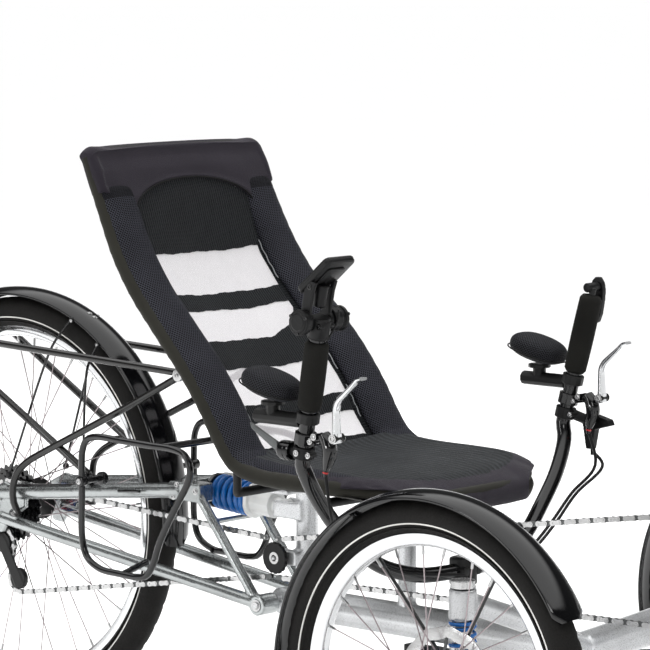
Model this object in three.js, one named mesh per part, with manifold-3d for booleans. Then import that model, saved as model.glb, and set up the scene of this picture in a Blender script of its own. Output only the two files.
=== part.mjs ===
// Full-suspension recumbent tricycle: two steered front wheels, one driven rear wheel.
// Millimetres, +Z up, +X the rider's left, the rider faces -Y.
// Everything is drawn with the rear axle at y = 0, then the group moves so that its box is centred.
import * as THREE from 'three';
import { mergeVertices } from 'three/addons/utils/BufferGeometryUtils.js';
import Module from 'manifold-3d';

const wasm = await Module();
wasm.setup();

// Driving dimensions
const wheelbase = 1190;
const track = 800;
const rearRadius = 326;
const frontRadius = 250;
const rearTyreWidth = 47;
const frontTyreWidth = 44;
const kingpinX = 342;
const frontAxleY = -wheelbase;
const axleBore = 8.6;
const chainX = -38;
const chainWidth = 6.5;
const chainHeight = 8;
const crankCentre = [0, -1500, 388];
const crankLength = 170;
const ringRadius = 84;
const cogRadius = 31;
const idlerCentre = [chainX, -575, 305];
const idlerRadius = 24;
const swingPivot = [0, -560, 235];
const shockRear = [0, -405, 387];
const shockFront = [0, -558, 375];
const headY = -905;
const barRadius = 11.1;
const barX = 292;
const rackX = 78;
const loopX = 122;
const gap = 0.4;
const boxCentreShift = 687.7;

// Geometry helpers. Each returns a solid made from a closed three.js geometry.
function solid(geometry) {
  const bare = geometry.clone();
  bare.deleteAttribute('normal');
  bare.deleteAttribute('uv');
  const welded = mergeVertices(bare, 1e-3);
  const corners = welded.index.array;
  const kept = [];
  for (let i = 0; i < corners.length; i += 3) {
    const [a, b, c] = [corners[i], corners[i + 1], corners[i + 2]];
    if (a !== b && b !== c && c !== a) kept.push(a, b, c);
  }
  const vertProperties = new Float32Array(welded.attributes.position.array);
  const made = new wasm.Manifold(
    new wasm.Mesh({ numProp: 3, vertProperties, triVerts: new Uint32Array(kept) }));
  if (made.volume() > 0) return made;
  const turned = kept.map((v, i) => kept[i - (i % 3) + (2 - (i % 3))]);
  return new wasm.Manifold(
    new wasm.Mesh({ numProp: 3, vertProperties, triVerts: new Uint32Array(turned) }));
}

function join(...pieces) {
  return pieces.flat().reduce((whole, piece) => whole.add(piece));
}

const vector = (p) => new THREE.Vector3(p[0], p[1], p[2]);

function rod(from, to, radius, sides = 12, endRadius = radius) {
  const a = vector(from);
  const b = vector(to);
  const along = b.clone().sub(a);
  const shape = new THREE.CylinderGeometry(endRadius, radius, along.length(), sides);
  shape.applyQuaternion(new THREE.Quaternion().setFromUnitVectors(
    new THREE.Vector3(0, 1, 0), along.clone().normalize()));
  shape.translate(...a.add(b).multiplyScalar(0.5).toArray());
  return solid(shape);
}

function block(centre, size, tiltX = 0) {
  const shape = new THREE.BoxGeometry(...size);
  shape.rotateX(tiltX);
  shape.translate(...centre);
  return solid(shape);
}

function section(width, height, sides) {
  const points = [];
  for (let i = 0; i < sides; i += 1) {
    const turn = (2 * Math.PI * (i + 0.5)) / sides;
    points.push(new THREE.Vector2((width / 2) * Math.cos(turn), (height / 2) * Math.sin(turn)));
  }
  return new THREE.Shape(points);
}

function sweep(points, width, height, steps, sides) {
  const path = new THREE.CatmullRomCurve3(points.map(vector), false, 'centripetal');
  return solid(new THREE.ExtrudeGeometry(section(width, height, sides),
    { steps, extrudePath: path, bevelEnabled: false }));
}

const bentTube = (points, radius, steps, sides = 10) =>
  sweep(points, 2 * radius, 2 * radius, steps, sides);

// A profile of [radius, distance along x] pairs turned about the x axis through centre.
function turned(profile, centre, segments = 24) {
  const shape = new THREE.LatheGeometry(
    profile.map(([r, x]) => new THREE.Vector2(Math.max(r, 0), x)), segments, Math.PI / segments);
  shape.rotateZ(-Math.PI / 2);
  shape.translate(...centre);
  return solid(shape);
}

const ringProfile = (inner, outer, from, to) =>
  [[inner, from], [outer, from], [outer, to], [inner, to], [inner, from]];

// A side-view outline of [y, z] points, given a thickness along x about middleX.
function sidePlate(outline, thickness, middleX, hole = null) {
  const shape = new THREE.Shape(outline.map(([y, z]) => new THREE.Vector2(y, z)));
  if (hole) shape.holes.push(new THREE.Path(hole.map(([y, z]) => new THREE.Vector2(y, z))));
  const plate = new THREE.ExtrudeGeometry(shape, { depth: thickness, bevelEnabled: false });
  plate.applyMatrix4(new THREE.Matrix4().makeBasis(
    new THREE.Vector3(0, 1, 0), new THREE.Vector3(0, 0, 1), new THREE.Vector3(1, 0, 0)));
  plate.translate(middleX - thickness / 2, 0, 0);
  return solid(plate);
}

// The outline of a band of the given width along a side-view line.
function band(line, width) {
  const left = [];
  const right = [];
  line.forEach(([y, z], i) => {
    const before = line[Math.max(i - 1, 0)];
    const after = line[Math.min(i + 1, line.length - 1)];
    const length = Math.hypot(after[0] - before[0], after[1] - before[1]);
    const ny = -(after[1] - before[1]) / length;
    const nz = (after[0] - before[0]) / length;
    left.push([y + (ny * width) / 2, z + (nz * width) / 2]);
    right.unshift([y - (ny * width) / 2, z - (nz * width) / 2]);
  });
  return left.concat(right);
}

function arc(centre, radius, fromDegrees, toDegrees, steps) {
  const points = [];
  for (let i = 0; i <= steps; i += 1) {
    const turn = THREE.MathUtils.degToRad(fromDegrees + ((toDegrees - fromDegrees) * i) / steps);
    points.push([centre[0] + radius * Math.cos(turn), centre[1] + radius * Math.sin(turn)]);
  }
  return points;
}

// Materials
const finish = (color, roughness, metalness) =>
  new THREE.MeshStandardMaterial({ color, roughness, metalness });
const framePaint = finish(0xc9ccd0, 0.35, 0.3);
const silver = finish(0xa9adb2, 0.3, 0.9);
const gunmetal = finish(0x55534f, 0.3, 0.8);
const blackMetal = finish(0x17181a, 0.35, 0.5);
const steel = finish(0x9a9da1, 0.3, 0.95);
const springBlue = finish(0x0a56b0, 0.3, 0.2);
const glossBlack = finish(0x0b0b0d, 0.12, 0.0);
const plasticBlack = finish(0x1b1b1d, 0.55, 0.0);
const foam = finish(0x222224, 0.95, 0.0);
const tyreRubber = finish(0x2c2b2a, 0.9, 0.0);
const meshFabric = finish(0x20222a, 0.95, 0.0);
const panelFabric = finish(0x2e2b34, 0.85, 0.0);

const trike = new THREE.Group();
trike.position.y = boxCentreShift;

function add(name, shape, material) {
  const made = shape.getMesh();
  const geometry = new THREE.BufferGeometry();
  geometry.setAttribute('position', new THREE.Float32BufferAttribute(made.vertProperties, 3));
  geometry.setIndex(Array.from(made.triVerts));
  geometry.computeVertexNormals();
  const mesh = new THREE.Mesh(geometry, material);
  mesh.name = name;
  trike.add(mesh);
}

// Main frame: low spine, head tube through it, rear post, seat posts, cross beam and kingpin sleeves
const spineZ = 235;
const spineRadius = 25;
const boomRise = Math.tan(THREE.MathUtils.degToRad(22));
const boomStartY = -1120;
const boomAxis = (y) => [0, y, spineZ + (boomStartY - y) * boomRise];
const sleeveBottom = 336;
const sleeveTop = 376;
const pinRadius = 12;

function mainFrame() {
  const pieces = [
    rod([0, -575, spineZ], [0, boomStartY - 8, spineZ], spineRadius, 12),
    rod(boomAxis(boomStartY + 8), boomAxis(-1330), spineRadius, 12),
    rod([0, headY, 200], [0, headY, 300], 20, 12),
    rod([0, -604, spineZ], [0, -604, 410], 17, 10),
    block([0, -612, 412], [150, 44, 8]),
    rod([0, -800, spineZ], [0, -800, 410], 14, 10),
    block([0, -800, 412], [150, 34, 8]),
    rod([-13, swingPivot[1], swingPivot[2]], [13, swingPivot[1], swingPivot[2]], 20, 12),
    rod([-68, swingPivot[1], swingPivot[2]], [68, swingPivot[1], swingPivot[2]], 7, 10),
    rod([-28, idlerCentre[1], idlerCentre[2]], [-45, idlerCentre[1], idlerCentre[2]], 4, 10),
    block([-20, -588, 305], [18, 40, 22]),
    rod([-21, shockFront[1], shockFront[2]], [21, shockFront[1], shockFront[2]], 5, 12),
  ];
  for (const side of [-1, 1]) {
    pieces.push(block([side * 17, -580, 375], [6, 56, 26]));
    pieces.push(rod([0, frontAxleY + 60, spineZ], [side * 150, frontAxleY, 292], 17, 12, 12));
    pieces.push(rod([side * 146, frontAxleY, 290], [side * 330, frontAxleY, 356], 16, 10, 15));
    const x = side * kingpinX;
    pieces.push(rod([x, frontAxleY, sleeveBottom], [x, frontAxleY, sleeveTop], 19, 12));
  }
  let frame = join(pieces);
  frame = frame.subtract(rod(boomAxis(-1180), boomAxis(-1345), 20.9, 12));
  frame = frame.subtract(rod([0, headY, 190], [0, headY, 310], 14.2, 12));
  for (const side of [-1, 1]) {
    frame = frame.subtract(rod(
      [side * kingpinX, frontAxleY, 320], [side * kingpinX, frontAxleY, 390], pinRadius + 0.8, 12));
  }
  return frame;
}
add('main_frame', mainFrame(), framePaint);

// Boom with the bottom bracket shell, sliding in the front of the spine
function boom() {
  const stem = rod(boomAxis(-1200), boomAxis(crankCentre[1] + 12), 19.6, 12);
  const shell = rod([-34, crankCentre[1], crankCentre[2]], [34, crankCentre[1], crankCentre[2]], 21, 12);
  const bore = rod([-40, crankCentre[1], crankCentre[2]], [40, crankCentre[1], crankCentre[2]], 9.6, 12);
  return join(stem, shell).subtract(bore);
}
add('boom', boom(), silver);

// Crankset: spindle, chainring, spider and two arms, the right arm pointing forward
function crankset() {
  const [, y, z] = crankCentre;
  const ring = turned(ringProfile(58, ringRadius, -2, 2), [chainX, y, z], 28);
  const pieces = [rod([-72, y, z], [72, y, z], 8.5, 10), ring];
  pieces.push(rod([-36, y, z], [-60, y, z], 20, 12));
  for (let i = 0; i < 5; i += 1) {
    const turn = (2 * Math.PI * i) / 5;
    pieces.push(rod([-41, y, z], [chainX, y + 66 * Math.cos(turn), z + 66 * Math.sin(turn)], 6, 6, 3));
  }
  for (const side of [-1, 1]) {
    const tipY = y + side * crankLength;
    pieces.push(sidePlate([...arc([y, z], 16, side > 0 ? 90 : -90, side > 0 ? 270 : 90, 6),
      ...arc([tipY, z], 12, side > 0 ? -90 : 90, side > 0 ? 90 : 270, 6)], 13, side * 66));
  }
  const bores = [-1, 1].map((side) => rod(
    [side * 55, y + side * crankLength, z], [side * 80, y + side * crankLength, z], 5.2, 10));
  return join(pieces).subtract(bores[0]).subtract(bores[1]);
}
add('crankset', crankset(), blackMetal);

function pedal(side) {
  const y = crankCentre[1] + side * crankLength;
  const z = crankCentre[2];
  const plate = block([side * 122, y, z], [86, 92, 18]);
  const windowFront = block([side * 122, y - 26, z], [62, 24, 30]);
  const windowBack = block([side * 122, y + 26, z], [62, 24, 30]);
  return plate.subtract(windowFront).subtract(windowBack)
    .add(rod([side * 60, y, z], [side * 150, y, z], 4.6, 10));
}

for (const [side, tag] of [[-1, 'right'], [1, 'left']]) {
  add(`pedal_${tag}`, pedal(side), blackMetal);
}

// Chain: a front run to the chainring and a rear run to the sprockets, meeting over the idler
function frontChain() {
  const [, y, z] = crankCentre;
  const round = ringRadius + chainHeight / 2 + 1;
  const run = [[-578, 333.5], ...arc([y, z], round, 81, 268, 14), [-578, 276.5]];
  return sidePlate(band(run, chainHeight), chainWidth, chainX);
}
add('chain_front', frontChain(), steel);

const jockeyUpper = [12, 262];
const jockeyLower = [-22, 208];
const jockeyRadius = 17;

function rearChain() {
  const round = cogRadius + chainHeight / 2 + 1;
  const wrap = jockeyRadius + chainHeight / 2 + 1;
  const run = [[-552, 333.5], ...arc([0, rearRadius], round, 93, -62, 9),
    ...arc(jockeyUpper, wrap, 120, 214, 4), ...arc(jockeyLower, wrap, 18, -98, 6), [-558, 276.5]];
  return sidePlate(band(run, chainHeight), chainWidth, chainX);
}
add('chain_rear', rearChain(), steel);

function idler() {
  return turned(ringProfile(4.8, idlerRadius, -3, 3), idlerCentre, 20);
}
add('chain_idler', idler(), blackMetal);

// Wheels. The crown of each tyre is flat, so it stands on a true face.
const crownHalf = 6;

function tyre(radius, width, bead) {
  const segments = 26;
  const outer = radius / Math.cos(Math.PI / segments);
  const middle = outer - width / 2;
  const profile = [];
  for (let i = 0; i <= 6; i += 1) {
    const turn = THREE.MathUtils.degToRad(-105 + (210 * i) / 6);
    profile.push([middle + (width / 2) * Math.cos(turn), (width / 2) * Math.sin(turn)]);
  }
  profile.splice(3, 1, [outer, -crownHalf], [outer, crownHalf]);
  profile.push([bead, width * 0.28], [bead, -width * 0.28], profile[0]);
  return (centre) => turned(profile, centre, segments);
}

function laced(rimOuter, rimDepth, rimWidth, flanges, flangeRadius, spokes, hub) {
  return (centre) => {
    const rim = turned(ringProfile(rimOuter - rimDepth, rimOuter, -rimWidth / 2, rimWidth / 2), centre, 26);
    const wires = [];
    for (let i = 0; i < spokes; i += 1) {
      const turn = (2 * Math.PI * i) / spokes;
      const lean = turn + (i % 4 < 2 ? 1 : -1) * 0.3;
      const flange = flanges[i % 2];
      const from = [centre[0] + flange, centre[1] + (flangeRadius - 2) * Math.cos(lean),
        centre[2] + (flangeRadius - 2) * Math.sin(lean)];
      const reach = rimOuter - rimDepth + 3;
      wires.push(rod(from, [centre[0] + Math.sign(flange - (flanges[0] + flanges[1]) / 2) * 4,
        centre[1] + reach * Math.cos(turn), centre[2] + reach * Math.sin(turn)], 1.6, 3));
    }
    return join(rim, hub(centre), wires);
  };
}

const hubBore = 10.4;

function rearHub(centre) {
  return turned([[hubBore, -22], [33, -22], [33, -18], [16, -14], [16, 24], [33, 28], [33, 32],
    [hubBore, 34], [hubBore, -22]], centre, 12);
}

const rearCentre = [0, 0, rearRadius];
add('rear_tyre', tyre(rearRadius, rearTyreWidth, 281)(rearCentre), tyreRubber);
add('rear_wheel', laced(280.4, 17, 24, [30, -20], 33, 20, rearHub)(rearCentre), silver);

// Sprockets on the freehub, with the axle that carries the hub shell
function cassette() {
  return turned([[0, -76], [5, -76], [5, -55], [12, -55], [12, -50], [22, -50], [26, -42.5],
    [cogRadius, -39.5], [cogRadius, -36.5], [cogRadius - 1, -33.8], [46, -33.5], [60, -28], [60, -26],
    [hubBore - 0.4, -26], [hubBore - 0.4, 52], [5, 52], [5, 76], [0, 76]], rearCentre, 18);
}
add('cassette', cassette(), blackMetal);

// Front corners: knuckle with kingpin, spring, wheel, disc, mudguard and tie rod on each side
const suspensionTravel = 40;
const steeringArm = [22, 75];
const tieRodZ = 180;

const kingpinFoot = 8;
const springSeat = 280;

function kingpin(side) {
  const at = (z) => [side * kingpinX, frontAxleY, z];
  return join(
    rod(at(232), at(278), kingpinFoot, 12),
    rod(at(276.5), at(springSeat), 19, 12),
    rod(at(springSeat - 1), at(sleeveTop + 11), pinRadius, 12),
    rod(at(sleeveTop + gap), at(sleeveTop + 12), 17, 12),
  );
}

function knuckle(side) {
  const x = side * kingpinX;
  const armEnd = [x + side * steeringArm[0], frontAxleY + steeringArm[1]];
  const pieces = [
    block([x, frontAxleY, 250], [30, 38, 52]),
    rod([x, frontAxleY, 250], [side * (track / 2 + 30), frontAxleY, 250], axleBore - 0.6, 12),
    rod([side * (track / 2 + 25), frontAxleY, 250], [side * (track / 2 + 33), frontAxleY, 250], 12, 12),
    rod([x, frontAxleY, 226], [armEnd[0], armEnd[1], 218], 8, 8, 6),
    rod([armEnd[0], armEnd[1], 222], [armEnd[0], armEnd[1], tieRodZ - suspensionTravel - 14], 4, 10),
    rod([x, frontAxleY + 10, 262], [side * 358, frontAxleY + 52, 282], 7, 8, 6),
    block([side * 361, frontAxleY + 60, 282], [17, 36, 30]),
  ];
  return join(pieces).subtract(rod([x, frontAxleY, 229], [x, frontAxleY, 290], kingpinFoot + 0.7, 12));
}

function kingpinSpring(side) {
  const low = springSeat + gap;
  const high = sleeveBottom - gap;
  const rise = (high - low) / 3;
  const profile = [[pinRadius + 1, low]];
  for (let i = 0; i < 3; i += 1) {
    profile.push([17.5, low + i * rise], [20, low + (i + 0.5) * rise]);
  }
  profile.push([17.5, high], [pinRadius + 1, high], [pinRadius + 1, low]);
  const shape = new THREE.LatheGeometry(profile.map(([r, z]) => new THREE.Vector2(r, z)), 12);
  shape.rotateX(Math.PI / 2);
  shape.translate(side * kingpinX, frontAxleY, 0);
  return solid(shape);
}

function frontHub(side) {
  return (centre) => {
    const profile = [[axleBore, -27], [14, -27], [14, -20], [28, -20], [28, -17], [15, -14], [15, 14],
      [28, 17], [28, 20], [14, 22], [14, 24], [axleBore, 24], [axleBore, -27]];
    return turned(profile.map(([r, x]) => [r, side * x]), centre, 12);
  };
}

function brakeDisc(side) {
  const inner = track / 2 - 28;
  return turned(ringProfile(axleBore + 0.6, 80, -1, 1), [side * (inner - 0.6), frontAxleY, frontRadius], 22);
}

// A thin arched guard round a wheel, from one angle to another in side view
function mudguard(centre, crown, width, drop, fromDegrees, toDegrees, segments) {
  const outer = [];
  const inner = [];
  for (let i = 0; i <= 4; i += 1) {
    const across = -1 + i / 2;
    const down = drop * across * across;
    outer.push([crown - down, (across * width) / 2]);
    inner.unshift([crown - down - 3, (across * (width - 3)) / 2]);
  }
  const ring = turned([...outer, ...inner, outer[0]], centre, segments);
  const reach = crown * 1.6;
  const wedge = arc([centre[1], centre[2]], reach, fromDegrees, toDegrees, 10);
  wedge.push([centre[1], centre[2]]);
  return ring.intersect(sidePlate(wedge, width * 2, centre[0]));
}

function frontMudguard(side) {
  const centre = [side * track / 2, frontAxleY, frontRadius];
  const guard = mudguard(centre, 262, 58, 8, -12, 152, 30);
  const edgeX = side * (track / 2 - 27);
  const bracket = block([side * 364.5, frontAxleY, 268], [4, 30, 14]);
  const stays = [52, 118].map((angle) => {
    const turn = THREE.MathUtils.degToRad(angle);
    return rod([side * 364.5, frontAxleY, 270],
      [edgeX, frontAxleY + 253.5 * Math.cos(turn), frontRadius + 253.5 * Math.sin(turn)], 2.5, 5);
  });
  return join(guard, bracket, stays);
}

function tieRod(side) {
  const inner = [side * steeringArm[0], headY + steeringArm[1], tieRodZ];
  const outer = [side * (kingpinX + steeringArm[0]), frontAxleY + steeringArm[1], tieRodZ];
  const ends = [inner, outer].map(([x, y, z]) => rod([x, y, z - 6], [x, y, z + 6], 9, 10));
  const bores = [inner, outer].map(([x, y, z]) => rod([x, y, z - 10], [x, y, z + 10], 5, 8));
  return join(rod(inner, outer, 5, 6), ends).subtract(bores[0]).subtract(bores[1]);
}

for (const [side, tag] of [[-1, 'right'], [1, 'left']]) {
  const centre = [side * track / 2, frontAxleY, frontRadius];
  add(`kingpin_${tag}`, kingpin(side), steel);
  add(`knuckle_${tag}`, knuckle(side), blackMetal);
  add(`kingpin_spring_${tag}`, kingpinSpring(side), springBlue);
  add(`front_tyre_${tag}`, tyre(frontRadius, frontTyreWidth, 206)(centre), tyreRubber);
  add(`front_wheel_${tag}`, laced(205.4, 17, 24, [18.5, -18.5], 28, 14, frontHub(side))(centre), silver);
  add(`brake_disc_${tag}`, brakeDisc(side), steel);
  add(`front_mudguard_${tag}`, frontMudguard(side), glossBlack);
  add(`tie_rod_${tag}`, tieRod(side), blackMetal);
}

// Handlebar: a U under the seat, turning on a stem that passes through the head tube
const barTop = 684;
const barLine = (z) => -859 - (z - 506) * 0.22;
const shifterPivot = [-896, 703];
const barPoint = (side, z) => [side * (287 + (z - 506) * 0.065), barLine(z), z];

function handlebar() {
  const pieces = [
    rod([0, headY, 182], [0, headY, 334], 13.2, 12),
    rod([0, headY, 301], [0, headY, 340], 20, 12),
    block([0, headY + 38, 193.2], [62, 94, 9]),
  ];
  for (const side of [-1, 1]) {
    pieces.push(rod(barPoint(side, 500), barPoint(side, barTop), barRadius, 10));
    pieces.push(bentTube([barPoint(side, 505), [side * 282, -864, 478], [side * 256, -871, 434],
      [side * 214, -876, 388], [side * 158, -886, 346], [side * 90, -898, 325], [side * 30, headY, 322],
      [0, headY, 322]], barRadius, 12, 10));
    pieces.push(rod([side * steeringArm[0], headY + steeringArm[1], 192],
      [side * steeringArm[0], headY + steeringArm[1], 171], 4, 10));
  }
  pieces.push(rod(barPoint(1, barTop - 4), barPoint(1, 703), 5, 10));
  pieces.push(rod([291, ...shifterPivot], [317.6, ...shifterPivot], 7, 12));
  pieces.push(rod([310, ...shifterPivot], [326, ...shifterPivot], 3, 8));
  return join(pieces);
}
add('handlebar', handlebar(), blackMetal);

// A collar round the straight part of a bar, between two heights
function collar(side, low, high, radius) {
  return rod(barPoint(side, low), barPoint(side, high), radius, 12);
}

const boreBar = (side) => rod(barPoint(side, 480), barPoint(side, 740), barRadius + 0.9, 10);

function grip(side, top) {
  return collar(side, 577, top, 16.5).subtract(boreBar(side));
}

function brakeBracket(side) {
  const at = (y, z) => [side * 290, y, z];
  const body = join(
    collar(side, 529, 545, 15.5),
    rod(at(-872, 536), at(-903, 541), 7, 6),
    rod(at(-901, 545), at(-911, 520), 9, 8, 7),
    rod(at(-911, 522), at(-904, 496), 5.5, 8, 4.5),
  );
  return body.subtract(boreBar(side));
}

const leverPivot = [-926, 542];

function brakeLever(side) {
  const line = [[-926, 535], [-925, 562], [-924, 586], [-945, 606], [-968, 626]];
  const blade = sidePlate(band(line, 9), 9, side * 292);
  return blade.add(rod([side * 282, ...leverPivot], [side * 302, ...leverPivot], 5.5, 10));
}

function padArm(side) {
  const x = side * barX;
  return join(
    collar(side, 559, 573, 16.5),
    rod([x, -862, 561], [x, -778, 561], 10.5, 10),
    rod([x, -808, 561], [x, -808, 581], 10, 8),
    rod([x, -808, 578], [x, -808, 584], 17, 10),
  ).subtract(boreBar(side));
}

function wristPad(side) {
  const pad = new THREE.SphereGeometry(1, 14, 8);
  pad.scale(34, 48, 23);
  pad.rotateX(THREE.MathUtils.degToRad(14));
  pad.translate(side * barX, -806, 608);
  const flat = block([side * barX, -806, 564.4], [120, 160, 40]);
  return solid(pad).subtract(flat);
}

for (const [side, tag, top] of [[-1, 'right', 672], [1, 'left', 691]]) {
  add(`grip_${tag}`, grip(side, top), foam);
  add(`brake_bracket_${tag}`, brakeBracket(side), blackMetal);
  add(`brake_lever_${tag}`, brakeLever(side), silver);
  add(`wrist_pad_arm_${tag}`, padArm(side), blackMetal);
  add(`wrist_pad_${tag}`, wristPad(side), meshFabric);
}

// Controls: display on its twin-sided holder, bell, bar-end shifter and thumb shifter
const displayAxis = [-893, 700];
const displayCentre = [-294, -908, 764];
const displayTilt = THREE.MathUtils.degToRad(-40);

const armsX = [-318.5, -278];
const armThickness = 6.4;

function displayHolder() {
  const discs = [[-334, -322.2], [-274.3, -260]].map(([from, to]) =>
    rod([from, ...displayAxis], [to, ...displayAxis], 17, 14));
  return join(collar(-1, 676, 706, 15), rod([-332, ...displayAxis], [-262, ...displayAxis], 6, 10), discs)
    .subtract(rod(barPoint(-1, 660), barPoint(-1, 686), 12, 12));
}
add('display_holder', displayHolder(), plasticBlack);

function display() {
  const [x, y, z] = displayCentre;
  const slab = block([x, y, z], [58, 72, 11], displayTilt);
  const arms = armsX.map((at) => {
    const eye = rod([at - armThickness / 2, ...displayAxis], [at + armThickness / 2, ...displayAxis], 14, 14);
    const link = sidePlate(band([displayAxis, [-903, 758]], 16), armThickness, at);
    return eye.add(link).subtract(rod([at - 6, ...displayAxis], [at + 6, ...displayAxis], 6.8, 12));
  });
  return join(slab, arms);
}
add('display', display(), glossBlack);

function bell() {
  const x = -290;
  return join(
    collar(-1, 509, 525, 15),
    rod([x, -850, 517], [x, -838, 517], 7, 10),
    rod([x, -842, 517], [x, -820, 517], 14, 14),
    block([x - 4, -798, 524], [5, 56, 16], THREE.MathUtils.degToRad(-28)),
  ).subtract(boreBar(-1));
}
add('bell', bell(), plasticBlack);

function barEndShifter() {
  const outline = [[-891, 717], [-898, 717], [-904, 709], [-906, 698], [-905, 684], [-901, 662],
    [-896, 650], [-886, 646], [-878, 655], [-882, 690], [-885, 711]];
  const bore = rod([300, ...shifterPivot], [330, ...shifterPivot], 3.6, 8);
  return sidePlate(outline, 8, 322).subtract(bore);
}
add('bar_end_shifter', barEndShifter(), plasticBlack);

function thumbShifter() {
  const x = 292;
  return join(
    collar(1, 508, 524, 15.5),
    rod([x, -862, 516], [x + 14, -886, 505], 8, 8),
    sidePlate([[-880, 512], [-896, 516], [-930, 508], [-934, 500], [-905, 492], [-899, 462], [-889, 462]],
      13, x + 16),
  ).subtract(boreBar(1));
}
add('thumb_shifter', thumbShifter(), plasticBlack);

// Cables held along the bar down to the stem
function cable(side, forward, start) {
  return bentTube([start, [side * (292 + forward), -914 - forward, 440], [side * 258, -898 - forward, 402],
    [side * 206, -902 - forward, 366], [side * 146, -912 - forward, 338], [side * 84, -924 - forward, 328],
    [side * 34, headY - 29 - forward, 322]], 2.5, 13, 8);
}
add('brake_cable_right', cable(-1, 0, [-290, -903, 493]), plasticBlack);
add('brake_cable_left', cable(1, 0, [290, -903, 493]), plasticBlack);
add('shift_cable', cable(1, 8, [308, -897, 459]), plasticBlack);

// Swing arm with gusset, dropouts and pivot barrels
function swingArm() {
  const [, pivotY, pivotZ] = swingPivot;
  const pieces = [
    block([0, -384, 388], [124, 12, 26]),
    rod([-54, -465, 349], [54, -465, 349], 4.5, 6),
    rod([-17, shockRear[1], shockRear[2]], [17, shockRear[1], shockRear[2]], 5, 12),
  ];
  for (const side of [-1, 1]) {
    pieces.push(block([side * 46.5, -411, 389], [31, 62, 28]));
    pieces.push(block([side * 17, -400, 388], [7, 30, 22]));
    pieces.push(rod([side * 66, -12, 348], [side * 55, -400, 390], 12, 12));
    pieces.push(rod([side * 66, -12, 308], [side * 56, -552, 238], 10, 10));
    pieces.push(rod([side * 54, -432, 388], [side * 54, -552, 240], 8, 8));
    pieces.push(rod([side * 28, pivotY, pivotZ], [side * 64, pivotY, pivotZ], 16, 12));
    pieces.push(sidePlate([[-70, 330], [-70, 358], [-20, 366], [16, 348], [20, 316], [8, 286],
      [-14, 284], [-30, 304]], 7, side * 66));
  }
  const bores = [-1, 1].flatMap((side) => [
    rod([side * 24, pivotY, pivotZ], [side * 70, pivotY, pivotZ], 7.7, 12),
    rod([side * 58, 0, rearRadius], [side * 80, 0, rearRadius], 5.7, 12),
  ]);
  return join(pieces).subtract(join(bores));
}
add('swing_arm', swingArm(), silver);

// Shock absorber: damper body on the frame, rod on the swing arm, coil spring over both
const shockAxis = vector(shockFront).sub(vector(shockRear)).normalize();
const shockPoint = (distance) => vector(shockRear).addScaledVector(shockAxis, distance).toArray();
const shockLength = vector(shockFront).distanceTo(vector(shockRear));
const springStart = 21;
const springEnd = 92;
const coilRadius = 22.5;
const wireRadius = 4.2;

function shockBody() {
  const eye = rod([-11, shockFront[1], shockFront[2]], [11, shockFront[1], shockFront[2]], 12, 12);
  return join(
    eye,
    rod(shockPoint(70), shockPoint(shockLength - 6), 13, 12),
    rod(shockPoint(springEnd + 1), shockPoint(springEnd + 8), 28, 14),
    rod(shockPoint(springEnd + 7), shockPoint(shockLength - 16), 21, 12),
  ).subtract(rod([-15, shockFront[1], shockFront[2]], [15, shockFront[1], shockFront[2]], 5.8, 10))
    .subtract(rod(shockPoint(60), shockPoint(shockLength - 20), 6.6, 10));
}
add('shock_body', shockBody(), silver);

function shockRod() {
  const eye = rod([-11, shockRear[1], shockRear[2]], [11, shockRear[1], shockRear[2]], 12, 12);
  return join(eye, rod(shockPoint(0), shockPoint(98), 5.8, 10), rod(shockPoint(13), shockPoint(20), 27, 14))
    .subtract(rod([-15, shockRear[1], shockRear[2]], [15, shockRear[1], shockRear[2]], 7.2, 10));
}
add('shock_rod', shockRod(), blackMetal);

function shockSpring() {
  const turns = 5;
  const steps = 40;
  const points = [];
  const up = new THREE.Vector3(1, 0, 0);
  const out = new THREE.Vector3().crossVectors(shockAxis, up);
  for (let i = 0; i <= steps; i += 1) {
    const part = i / steps;
    const turn = 2 * Math.PI * turns * part;
    const along = springStart + wireRadius + (springEnd - springStart - 2 * wireRadius) * part;
    points.push(vector(shockPoint(along)).addScaledVector(up, coilRadius * Math.cos(turn))
      .addScaledVector(out, coilRadius * Math.sin(turn)).toArray());
  }
  return sweep(points, 2 * wireRadius, 2 * wireRadius, steps, 6);
}
add('shock_spring', shockSpring(), springBlue);

// Rear mudguard with its wire stays
function rearMudguard() {
  const guard = mudguard(rearCentre, 342, 54, 9, -20, 186, 36);
  const stays = [-1, 1].map((side) => {
    const foot = [side * 61, -24, 377];
    return [
      rod([side * 26, -134, 628], [side * 45, -108, 584], 2, 5),
      rod([side * 45, -107, 586], foot, 2, 5),
      rod([side * 26, -191, 594], [side * 52, -192, 540], 2, 5),
      rod([side * 52, -192, 542], [side * 62, -192, 388], 2, 5),
    ];
  });
  return join(guard, stays.flat());
}
add('rear_mudguard', rearMudguard(), glossBlack);

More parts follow.
